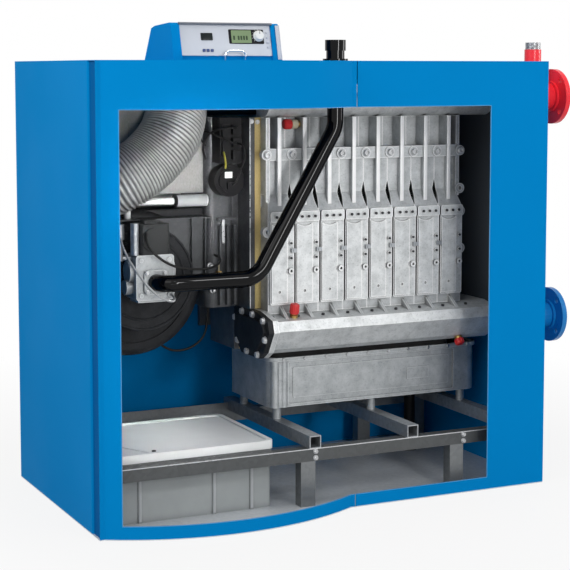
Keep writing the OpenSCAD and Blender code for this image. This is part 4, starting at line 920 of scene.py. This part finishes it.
@dataclass
class HeatExchanger:
    """Screws of the castings, painted highlight faces on their ribs, backs of their slits painted as
    shade, and the fittings on them.
    """

    start_x: float = 657
    pitch: float = 90
    sections: int = 8
    cover_w: float = 84
    cover_z: float = 621
    cover_h: float = 300
    cover_front: float = 232
    boss_front: float = 229
    strip_x: float = 71.2
    ledge_y: float = 214
    ledge_z: float = 583.3
    ledge: tuple = (0.0, -0.193, 0.981)
    seam_y: float = 258
    seam_z: float = 1102
    rib_y: float = 257
    rib_z: float = 1079
    rib_shift: float = -0.15
    rib_size: tuple = (12, 281, 1.4, 1.5, 0.9)
    slit_half: float = 6.8
    slit_y: float = 262
    slit_lean: float = 20
    slit_z: float = 926
    slit_height: float = 78
    slit_depth: float = 4
    end_x: float = 617
    end_bolts: int = 8
    end_outline: tuple = ((240, 465), (365, 465), (415, 506), (415, 590), (249, 590), (178, 576),
                          (165, 545), (210, 481))
    cap_place: tuple = (731.0, 212.0, 582.6)
    sensor_place: tuple = (786.0, 286.0, 1198.0)
    plug_place: tuple = (1356.0, 226.0, 472.0)
    plug_axis: tuple = (0.0, -0.55, -0.83)

    def seams(self, y: float, z: float) -> Array:
        """Places at both ends of the block and at every seam between two sections."""
        return places(*[(self.start_x + self.pitch * i, y, z) for i in range(self.sections + 1)])

    def build(self) -> None:
        """Places every screw row and the painted highlight faces of the ribs, then the slits and the
        fittings.
        """
        starts = self.start_x + self.pitch * np.arange(self.sections) + 3
        head = [(x + share * self.cover_w, self.boss_front, self.cover_z + self.cover_h - 17)
                for x in starts for share in (0.22, 0.5, 0.78)]
        screws("cover_head_screws", Head.CAP, 5.6, places(*head), FRONT, DARK_STEEL)
        side = [(x + self.strip_x, self.cover_front, self.cover_z + share * self.cover_h)
                for x in starts for share in (0.5, 0.66)]
        screws("cover_strip_screws", Head.CAP, 5.0, places(*side), FRONT, DARK_STEEL)
        screws("ledge_screws", Head.CAP, 6.5, self.seams(self.ledge_y, self.ledge_z), self.ledge,
               DARK_STEEL)
        screws("seam_heads", Head.CAP, 13.0, self.seams(self.seam_y, self.seam_z), FRONT, BRIGHT_ZINC)
        # Painted highlight: lighter alloy pads on the fronts of the ribs
        middles = [(self.start_x + self.pitch * (i + 0.5) + self.rib_shift, self.rib_y, self.rib_z)
                   for i in range(self.sections)]
        front_pads("rib_highlight_faces", self.rib_size, middles, ALLOY_PAINTED_LIGHT)
        self.end_screws()
        self.slits()
        self.fittings()

    def slits(self) -> None:
        """Dark backs in the slits, painted as the shade inside them.

        At a share t of its height a back is slit_half * sin(pi t) to each side of its seam, and it
        leans to the rear by slit_lean * min(1, 1.4 t).
        """
        t = np.linspace(0.0, 1.0, 17)
        side = np.linspace(-1.0, 1.0, 5)
        x = self.slit_half * np.sin(math.pi * t)[:, None] * side
        y = self.slit_y + self.slit_lean * np.minimum(1.0, 1.4 * t)[:, None] + 0.0 * side
        z = self.slit_z + self.slit_height * t[:, None] + 0.0 * side
        front = np.stack([x, y, z], axis=-1)
        ring = np.concatenate([front, front[:, ::-1] + (0.0, self.slit_depth, 0.0)], axis=1)
        seams = self.seams(0, 0)[1:-1]
        moves = np.tile(np.eye(4), (len(seams), 1, 1))
        moves[:, :3, 3] = seams
        # Painted shade: dark backs inside the slits
        make_piece("slit_shade_backs", rings_to_surface(MM * ring).repeated(moves), SLIT_PAINTED_SHADE)

    def end_screws(self) -> None:
        """Bolts spread evenly along the outline of the manifold's end cover."""
        loop = np.array(self.end_outline, float)
        ring = np.column_stack([np.zeros(len(loop) + 1), np.concatenate([loop, loop[:1]])])
        length = np.linalg.norm(np.diff(ring, axis=0), axis=1).sum()
        spread = evenly_spaced(ring, length / self.end_bolts)[:-1] + (self.end_x, 0.0, 0.0)
        screws("end_cover_screws", Head.HEX, 11.0, CABINET + MM * spread, LEFT, BRIGHT_ZINC)

    def fittings(self) -> None:
        """Red cap on the manifold, sensor on the first section and red plug under the manifold."""
        cap = in_cabinet(*self.cap_place)
        turned("air_cap_foot", cap, self.ledge, [(13, 0), (13, 8), (9, 10), (9, 14)], BRASS)
        turned("air_cap", cap, self.ledge, [(7, 12), (14, 13), (15, 18), (15, 40), (12, 45), (4, 46)],
               RED_PLASTIC, 16)
        sensor = in_cabinet(*self.sensor_place)
        turned("sensor_foot", sensor, LEFT, [(11, 0), (11, 8), (8, 9), (8, 14)], BRASS)
        turned("sensor_body", sensor, LEFT, [(8, 8), (14, 9), (15, 11), (15, 28), (11, 31)],
               CREAM_PLASTIC)
        turned("sensor_cap", sensor, LEFT, [(8, 29), (14, 30), (16, 33), (16, 52), (12, 57), (4, 58)],
               RED_PLASTIC, 14)
        plug = in_cabinet(*self.plug_place)
        turned("drain_plug_foot", plug, self.plug_axis, [(13, 0), (13, 8), (9, 10)], BRASS)
        turned("drain_plug", plug, self.plug_axis,
               [(8, 8), (15, 9), (16, 13), (16, 24), (12, 28), (4, 29)], RED_PLASTIC, 12)


@dataclass
class WaterConnections:
    """Thread of the safety branch on the flow pipe."""

    x: float = 1687
    y: float = 290
    low: float = 1442
    height: float = 24
    radius: float = 27
    bore: float = 22
    pitch: float = 2.6
    thread_depth: float = 1.5
    sides: int = 60
    steps: int = 8

    def build(self) -> None:
        """Winds a thread: radius less a triangle wave of height, shifted once round a turn."""
        level = np.linspace(0.0, self.height, int(self.height / self.pitch * self.steps))
        turn = np.linspace(0.0, 1.0, self.sides, endpoint=False)
        phase = level[:, None] / self.pitch - turn[None]
        wave = np.abs(2.0 * (phase - np.floor(phase)) - 1.0)
        outer = self.radius - self.thread_depth * wave
        radius = np.concatenate([outer, np.full((2, self.sides), self.bore)])
        height = np.concatenate([level, [self.height, 0.0]])[:, None] + np.zeros((1, self.sides))
        angle = 2.0 * math.pi * turn
        rings = MM * np.stack([radius * np.cos(angle), radius * np.sin(angle), height], axis=-1)
        surface = rings_to_surface(rings + in_cabinet(self.x, self.y, self.low), closed=True)
        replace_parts(make_piece("branch_thread", surface, STEEL, 50), "safety_thread")


@dataclass
class GasTrain:
    """Black gas pipe, the valve's flange screws, and the hose and cable beside the valve."""

    radius: float = 26
    bend: float = 90
    elbow: float = 46
    y: float = 148
    top_z: float = 1380
    drop_x: float = 845
    knee_z: float = 1191
    low_x: float = 573
    run_x: float = 355
    valve_x: float = 255
    valve_z: float = 724
    flange_y: float = 195
    screw_reach: float = 29

    def build(self) -> None:
        """Sweeps the pipe along straight runs and arcs, then adds screws, hose and cable."""
        z, y = self.valve_z, self.y
        down = places((self.drop_x, y, self.top_z), (self.drop_x, y, self.knee_z),
                      (self.low_x, y, z), (self.run_x, y, z))
        back = places((self.run_x, y, z), (self.valve_x, y, z), (self.valve_x, self.flange_y, z))
        path = np.concatenate([rounded_path(down, self.bend * MM, 24),
                               rounded_path(back, self.elbow * MM)[1:]])
        pipe = make_piece("gas_pipe_tube", sweep(path, self.radius * MM, 56), BLACK_PAINT, 60)
        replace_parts(pipe, "gas_pipe")
        reach = (-self.screw_reach, self.screw_reach)
        corners = [(self.valve_x + i, self.flange_y, z + j) for i in reach for j in reach]
        screws("flange_screws", Head.HEX, 7.0, places(*corners), FRONT)
        lead("sensing_hose", places(
            (152, 226, 859), (146, 190, 840), (152, 158, 806), (170, 134, 768), (196, 118, 728),
            (228, 112, 696), (262, 118, 678), (290, 140, 672), (304, 170, 676), (306, 198, 684)),
             3.6, GREY_HOSE)
        lead("coil_cable", places(
            (226, 203, 877), (224, 190, 852), (236, 182, 824), (272, 178, 792), (318, 182, 770),
            (370, 188, 760), (430, 200, 758), (480, 240, 764), (516, 310, 772), (530, 384, 776)),
             4.0, CABLE_BLACK)


@dataclass
class AirSide:
    """Corrugated duct from the rear collar to the fan's inlet box, the fan's rings and a sleeve."""

    radius: float = 97
    ridge: float = 6.0
    ridge_power: float = 1.2
    pitch: float = 9.2
    sides: int = 80
    steps: int = 8
    inlet: tuple = (255.0, 296.0, 724.0)
    sleeve_start: tuple = (394.0, 387.0, 955.0)

    def route(self) -> Array:
        """Given points of the duct's centre line."""
        return places(
            (415, 790.3, 1292), (415, 640.3, 1292), (415, 490, 1288), (392, 368, 1250),
            (345, 308, 1168), (272, 296, 1090), (180, 304, 1030), (118, 365, 1002),
            (104, 455, 992), (104, 560, 975), (104, 630, 925), (104, 640, 860))

    def build(self) -> None:
        """Sweeps a ring whose radius rises and falls once a pitch, wound as a helix.

        A point lies ridge * (1 - w ** ridge_power) inside the duct's radius, where w is half of one
        plus the cosine of its turn along the helix.
        """
        path = evenly_spaced(smooth_route(self.route(), 24), self.pitch / self.steps * MM)
        run = np.arange(len(path))[:, None] / self.steps
        turn = np.linspace(0.0, 1.0, self.sides, endpoint=False)[None]
        wave = 0.5 + 0.5 * np.cos(2.0 * math.pi * (run - turn))
        depth = 1.0 - wave**self.ridge_power
        surface = sweep(path, MM * (self.radius - self.ridge * depth), self.sides)
        piece = make_piece("duct_corrugated", surface, DUCT_FOIL, 80)
        # Painted shade: the depth attribute darkens the grooves between the ridges
        shade = np.concatenate([depth.ravel(), np.ones(len(surface.points) - depth.size)])
        piece.data.attributes.new("depth", "FLOAT", "POINT").data.foreach_set("value", shade**2)
        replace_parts(piece, "air_duct")
        self.sleeve()
        turned("inlet_rings", in_cabinet(*self.inlet), FRONT, [
            (40, 0.2), (126, 0.2), (128, 3), (132, 3), (134, 0.4), (156, 0.4), (158, 3.4), (163, 3.4),
            (165, 0), (40, 0)], BLACK_IRON)

    def sleeve(self) -> None:
        """Grey sleeve over the white tube's right part, with a dark ring at its start."""
        start = in_cabinet(*self.sleeve_start)
        turned("tube_sleeve", start, RIGHT,
               [(12, 0.4), (19.5, 0.5), (19.9, 2), (19.9, 104), (12, 106)], GREY_HOSE)
        turned("tube_ring", start, RIGHT,
               [(12, -6), (17, -5), (20.6, -4), (20.6, 3), (19, 4), (12, 4)], BLACK_PLASTIC)


@dataclass
class BurnerSide:
    """Leads, plate and small fittings on the burner hood, and the mats behind the duct."""

    front: float = 385
    flange_front: float = 302
    flange_x: float = 618.2
    flange_z: tuple = (606.0, 1219.0)
    flange_screws: tuple = ((624.0, 302.0, 1208.0), (646.0, 305.0, 1206.0))
    fittings: tuple = ((519.0, 662.0), (565.0, 690.0), (510.0, 742.0))
    nipple_x: float = 541
    nipple_z: float = 716
    inner_mat: tuple = (375.7, 416.0, 1089.0)
    inner_mat_size: tuple = (251.5, 225, 5, 3, 0.6)
    corner_mat: tuple = (163.0, 420.0, 1199.0)
    corner_mat_size: tuple = (302, 116, 5, 3, 0.6)
    plate: tuple = (551.0, 319.0, 1038.0)

    def build(self) -> None:
        """Adds the flange's screws and a steel strip as a painted highlight on its edge, the fittings,
        the mats and the leads.
        """
        screws("hood_screws", Head.HEX, 7.0, places(*self.flange_screws), FRONT, BRIGHT_ZINC)
        # Painted highlight: bright steel strip on the flange's left edge
        edge = places(*[(self.flange_x, self.flange_front, z) for z in self.flange_z])
        strip("flange_edge_highlight", edge, RIGHT, FRONT, [(-1.6, 0), (1.6, 0), (1.4, 1.2), (-1.4, 1.2)],
              STEEL)
        for index, (x, z) in enumerate(self.fittings):
            turned(f"hood_fitting_{index}", in_cabinet(x, self.front - 2, z), FRONT,
                   [(10, 0), (10, 9), (6, 11), (6, 24), (3, 26)], STEEL)
        turned("test_nipple_foot", in_cabinet(self.nipple_x, self.front - 1, self.nipple_z), FRONT,
               [(9, 0), (9, 10), (8, 16), (3, 17)], BRASS)
        turned("test_nipple", in_cabinet(self.nipple_x, self.front - 10, self.nipple_z - 2), UP,
               [(5, 0), (5, 12), (3.4, 14), (3.4, 26), (4.2, 28), (4.2, 31), (2, 33)],
               CREAM_PLASTIC)
        front_pads("inner_mat", self.inner_mat_size, [self.inner_mat], GREY_MAT)
        front_pads("corner_mat", self.corner_mat_size, [self.corner_mat], GREY_MAT)
        front_pads("sight_bar", (12, 78, 14, 3, 2), [(556, self.front, 851)], STEEL)
        front_pads("ignition_plate", (26, 20, 0.8, 1.5, 0.3), [self.plate], WHITE_PLASTIC)
        lead("control_lead_upper", places(
            (574, 309, 1190), (556, 286, 1190), (524, 286, 1188), (500, 310, 1180), (492, 352, 1160),
            (494, 392, 1120), (506, 398, 1086)), 4.0, CABLE_BLACK)
        lead("control_lead_middle", places(
            (574, 309, 1140), (560, 288, 1139), (530, 290, 1152), (500, 316, 1168), (484, 344, 1176),
            (478, 392, 1172), (492, 404, 1150), (506, 398, 1128)), 3.0, CABLE_BLACK)
        lead("control_lead_lower", places(
            (574, 309, 1142), (586, 282, 1130), (596, 290, 1096), (588, 304, 1056), (574, 306, 1020),
            (563, 322, 1003)), 3.0, CABLE_BLACK)
        lead("earth_lead", places(
            (531, 310, 1112), (530, 300, 1096), (534, 302, 1076), (540, 318, 1060)), 3.0, YELLOW_LEAD)
        lead("fan_lead", places(
            (352, 520, 495), (389, 520, 472), (424, 520, 452), (460, 520, 446), (506, 520, 456),
            (546, 520, 490), (560, 520, 550), (562, 520, 604)), 4.0, CABLE_BLACK)


@dataclass
class Neutraliser:
    """Filling plug in the neutraliser's lid and paler faces on the box's ribs as a painted highlight.
    """

    place: tuple = (226.0, 150.0, 211.0)
    rib_x: tuple = (166.0, 410.0, 537.0)
    rib_y: float = 111
    rib_z: float = 96
    rib_size: tuple = (8, 178, 1.2, 2, 0.8)

    def build(self) -> None:
        """Makes the painted highlight faces of the ribs and the dark plug."""
        spots = [(x, self.rib_y, self.rib_z) for x in self.rib_x]
        # Painted highlight: paler pads on the fronts of the box's ribs
        front_pads("box_rib_highlight_faces", self.rib_size, spots, GREY_HOSE)
        turned("filling_plug", in_cabinet(*self.place), UP,
               [(7, 0), (7, 2), (6, 3), (3, 3), (3, 2), (1, 2)], BLACK_PLASTIC)


@dataclass
class Controller:
    """Face of the controller: windows, buttons, knob, clip and trim."""

    corner: tuple = (307.0, 108.0, 1400.0)
    lean: float = math.radians(14)
    start: float = 14
    width: float = 300.4
    height: float = 98.5
    lift: float = 4
    cheek_out: tuple = (0.0, -0.97, 0.242)
    ticks: int = 11
    tick_ring: float = 20

    def on_face(self, u: float, v: float, lift: float) -> Array:
        """Matrix that stands a thing on the leaning face, at shares of its width and height."""
        up = np.array((0.0, math.sin(self.lean), math.cos(self.lean)))
        out = np.array((0.0, -math.cos(self.lean), math.sin(self.lean)))
        matrix = np.eye(4)
        matrix[:3, 1], matrix[:3, 2] = up, out
        reach = u * self.width * matrix[:3, 0] + (self.start + v * self.height) * up + lift * out
        matrix[:3, 3] = in_cabinet(*self.corner) + MM * reach
        return matrix

    def patch(self, name: str, spots: list, size: tuple, finish: Finish, slot: str) -> None:
        """Pads of one size (width, height, depth, corner, bevel) at spots (u, v) of the face."""
        matrices = np.stack([self.on_face(u, v, self.lift) for u, v in spots])
        make_piece(name, pad(*size).repeated(matrices), finish)

    def build(self) -> None:
        """Dresses the face with its windows, buttons, knob, bow, trim, marks and cheek strip."""
        self.patch("display_bezel", [(0.7275, 0.605)], (116, 45, 1.6, 3, 0.6), BLACK_PLASTIC,
                   "black_plastic")
        self.patch("lamp_window", [(0.292, 0.595)], (38, 23, 2, 2, 0.6), DARK_GLASS, "black_plastic")
        self.patch("blue_buttons", [(0.25, 0.16), (0.292, 0.16), (0.338, 0.16)], (9, 9, 3, 2, 1),
                   BUTTON_BLUE, "casing")
        self.patch("small_buttons", [(0.96, v) for v in (0.28, 0.43, 0.58, 0.73)], (7, 7, 2.4, 2, 0.8),
                   TRIM_GREY, "panel")
        self.knob()
        bow = rounded_path(places((446, 98, 1399), (446, 96, 1430), (512, 96, 1430), (512, 98, 1399)),
                           15 * MM, 8)
        make_piece("face_bow", sweep(bow, 2.5 * MM, 16), CHROME, 60)
        trim = evenly_spaced(places((304, 124, 1511), (611, 124, 1511)), 20 * MM)
        make_piece("face_trim", sweep(trim, 3.6 * MM, 20), TRIM_DARK)
        marks = [(u, 0.56) for u in (0.588, 0.638, 0.668, 0.698, 0.728)]
        self.patch("display_marks", marks, (6.0, 13.0, 3.3, 0.8, 0.2), CRYSTAL_DARK, "display")
        cheek = evenly_spaced(places((628, 95.6, 1403), (628, 121.5, 1507)), 20 * MM)
        strip("cheek_strip", cheek, RIGHT, self.cheek_out,
              [(-7, 0), (7, 0), (7, 1.6), (6, 2.2), (-6, 2.2), (-7, 1.6)], TRIM_GREY)

    def knob(self) -> None:
        """Fluted knob with a pointer, and a ring of dial ticks about it."""
        base = self.on_face(0.86, 0.62, self.lift)
        body = revolved([(17, 1.6), (17, 6), (15, 7), (14.2, 13), (12.5, 15), (3, 15)], 72, 24, 0.03)
        piece = make_piece("knob_grip", body.moved(base), KNOB_WHITE)
        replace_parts(piece, "control_knob")
        angles = np.radians(np.linspace(-135, 135, self.ticks))
        turns = np.tile(np.eye(4), (self.ticks, 1, 1))
        turns[:, 0, 0], turns[:, 0, 1] = np.cos(angles), -np.sin(angles)
        turns[:, 1, 0], turns[:, 1, 1] = np.sin(angles), np.cos(angles)
        turns[:, :2, 3] = self.tick_ring * MM * np.stack([-np.sin(angles), np.cos(angles)], axis=-1)
        turns[:, 2, 3] = 1.5 * MM
        ticks = pad(1, 3, 0.5, 0.3, 0.15).repeated(base @ turns)
        make_piece("dial_ticks", ticks, KNOB_WHITE)
        mark = np.eye(4)
        mark[:3, 3] = MM * np.array((0.0, 8.0, 14.6))
        make_piece("knob_mark", pad(1.6, 8, 0.7, 0.5, 0.2).moved(base @ mark), BLACK_PLASTIC)


@dataclass
class Studio:
    """Camera, lamps, floor and backdrop."""

    lens: float = 100.06
    yaw: float = 25.52
    pitch: float = -5.275
    shift: float = -0.12
    place: tuple[float, float, float] = (-1461.0, -4313.8, 1370.5)
    ambient: float = 0.36
    floor_glow: float = 0.86
    floor_half: float = 30.0
    floor_tones: tuple = (0.50, 0.54)
    fade: tuple = (1.1, 2.6)

    def build(self) -> None:
        """Makes the whole studio."""
        scene = bpy.context.scene
        scene.view_settings.view_transform = "Standard"
        scene.camera = self.camera()
        self.backdrop()
        self.floor()
        self.lamp("key", (0.29, -3.78, 1.29), (-0.18, -0.25, 0.96), 0.4, 35.0, 1.0, roll=-29.0)
        self.lamp("second", (0.98, -3.1, 2.4), (-0.43, -0.25, 0.72), 0.45, 14.0)
        self.lamp("left_fill", (-2.6, -3.2, 3.0), (-0.3, 0.0, 0.9), 2.0, 26.0)
        self.lamp("right_fill", (3.0, -3.2, 3.0), (0.2, 0.0, 0.9), 2.4, 8.0)
        self.lamp("low_fill", (-0.8, -3.9, 0.4), (-0.2, 0.2, 1.0), 1.4, 3.0)
        self.lamp("side_light", (-3.4, -0.8, 2.6), (-0.9, 0.0, 1.0), 1.6, 62.0)
        self.lamp("overhead", (0.0, -0.4, 4.6), (0.0, 0.0, 1.4), 2.6, 45.0)
        self.lamp("right_side", (2.9, -0.95, 1.5), (-0.1, -0.4, 1.2), 0.8, 17.0)
        self.lamp("lid_beam", (-0.55, -2.5, 2.4), (-0.58, -0.02, 0.21), 0.25, 0.32, spread=10.0)
        self.lamp("duct_beam", (-1.5, -3.8, 0.9), (-0.42, 0.15, 1.05), 0.3, 0.5, spread=7.0)

    def camera(self) -> bpy.types.Object:
        """Camera where the photograph was taken from."""
        data = bpy.data.cameras.new("camera")
        data.lens = self.lens
        data.shift_y = self.shift
        data.clip_end = 100.0
        camera = bpy.data.objects.new("camera", data)
        bpy.context.scene.collection.objects.link(camera)
        turn = Matrix.Rotation(-math.radians(self.yaw), 4, "Z") @ Matrix.Rotation(
            math.radians(90.0 + self.pitch), 4, "X")
        camera.matrix_world = Matrix.Translation(in_cabinet(*self.place)) @ turn
        return camera

    def lamp(self, name: str, place: tuple, target: tuple, size: float, power: float,
             height: float = 0.0, roll: float = 0.0, spread: float = 180.0) -> None:
        """Soft lamp that looks from a place at a target.

        Args:
            name: the lamp's name.
            place: where it stands, in metres.
            target: what it looks at.
            size: its width.
            power: its power in watts.
            height: its height, the same as its width where it is 0.
            roll: turn about its own axis, in degrees.
            spread: angle of its beam, in degrees.
        """
        data = bpy.data.lights.new(name, "AREA")
        data.shape = "RECTANGLE"
        data.size, data.size_y = size, height or size
        data.energy = power
        data.spread = math.radians(spread)
        lamp = bpy.data.objects.new(name, data)
        lamp.visible_camera = False
        bpy.context.scene.collection.objects.link(lamp)
        look = (Vector(place) - Vector(target)).to_track_quat("Z", "Y").to_matrix()
        lamp.rotation_euler = (look @ Matrix.Rotation(math.radians(roll), 3, "Z")).to_euler()
        lamp.location = place

    @staticmethod
    def seen(graph: Graph) -> object:
        """One for rays that see a thing directly, in a reflection or through glass."""
        ray = graph.add("ShaderNodeLightPath").outputs
        return graph.math("MAXIMUM", ray["Is Camera Ray"],
                          graph.math("MAXIMUM", ray["Is Glossy Ray"], ray["Is Transmission Ray"]))

    def backdrop(self) -> None:
        """White where it is seen, plain soft light everywhere else."""
        world = bpy.data.worlds.new("backdrop")
        world.use_nodes = True
        bpy.context.scene.world = world
        graph = Graph(world.node_tree)
        strength = graph.math("MAXIMUM", self.seen(graph), self.ambient)
        shader = world.node_tree.nodes["Background"]
        shader.inputs["Color"].default_value = (1.0, 1.0, 1.0, 1.0)
        graph.feed(shader.inputs["Strength"], strength)

    def floor(self) -> None:
        """Wide pale floor that fades to the backdrop's white away from the boiler."""
        half = self.floor_half
        mesh = bpy.data.meshes.new("floor")
        mesh.from_pydata([(-half, -half, 0), (half, -half, 0), (half, half, 0), (-half, half, 0)],
                         [], [(0, 1, 2, 3)])
        made = bpy.data.materials.new("pale_floor")
        made.use_nodes = True
        graph = Graph(made.node_tree)
        shader = made.node_tree.nodes["Principled BSDF"]
        place = graph.add("ShaderNodeTexCoord").outputs["Object"]
        tone = graph.ramp(graph.noise(place, 2.0), 0.0, 1.0, *self.floor_tones)
        graph.feed(shader.inputs["Base Color"], tone)
        shader.inputs["Roughness"].default_value = 0.6
        away = graph.add("ShaderNodeVectorMath", {"operation": "LENGTH"})
        graph.feed(away.inputs[0], place)
        far = graph.ramp(away.outputs["Value"], *self.fade, self.floor_glow, 1.0)
        white = graph.add("ShaderNodeEmission").outputs[0]
        blend = graph.add("ShaderNodeMixShader")
        graph.feed(blend.inputs[0], graph.math("MULTIPLY", far, self.seen(graph)))
        graph.feed(blend.inputs[1], shader.outputs[0])
        graph.feed(blend.inputs[2], white)
        graph.feed(made.node_tree.nodes["Material Output"].inputs["Surface"], blend.outputs[0])
        mesh.materials.append(made)
        floor = bpy.data.objects.new("floor", mesh)
        bpy.context.scene.collection.objects.link(floor)


def main() -> None:
    """Builds the studio and dresses the boiler piece by piece."""
    logging.basicConfig(level=logging.INFO, format="%(name)s %(message)s")
    Studio().build()
    dress_nodes()
    for assembly in (Casing(), FrameAndTray(), HeatExchanger(), WaterConnections(), GasTrain(),
                     AirSide(), BurnerSide(), Neutraliser(), Controller()):
        assembly.build()


if __name__ == "__main__":
    main()
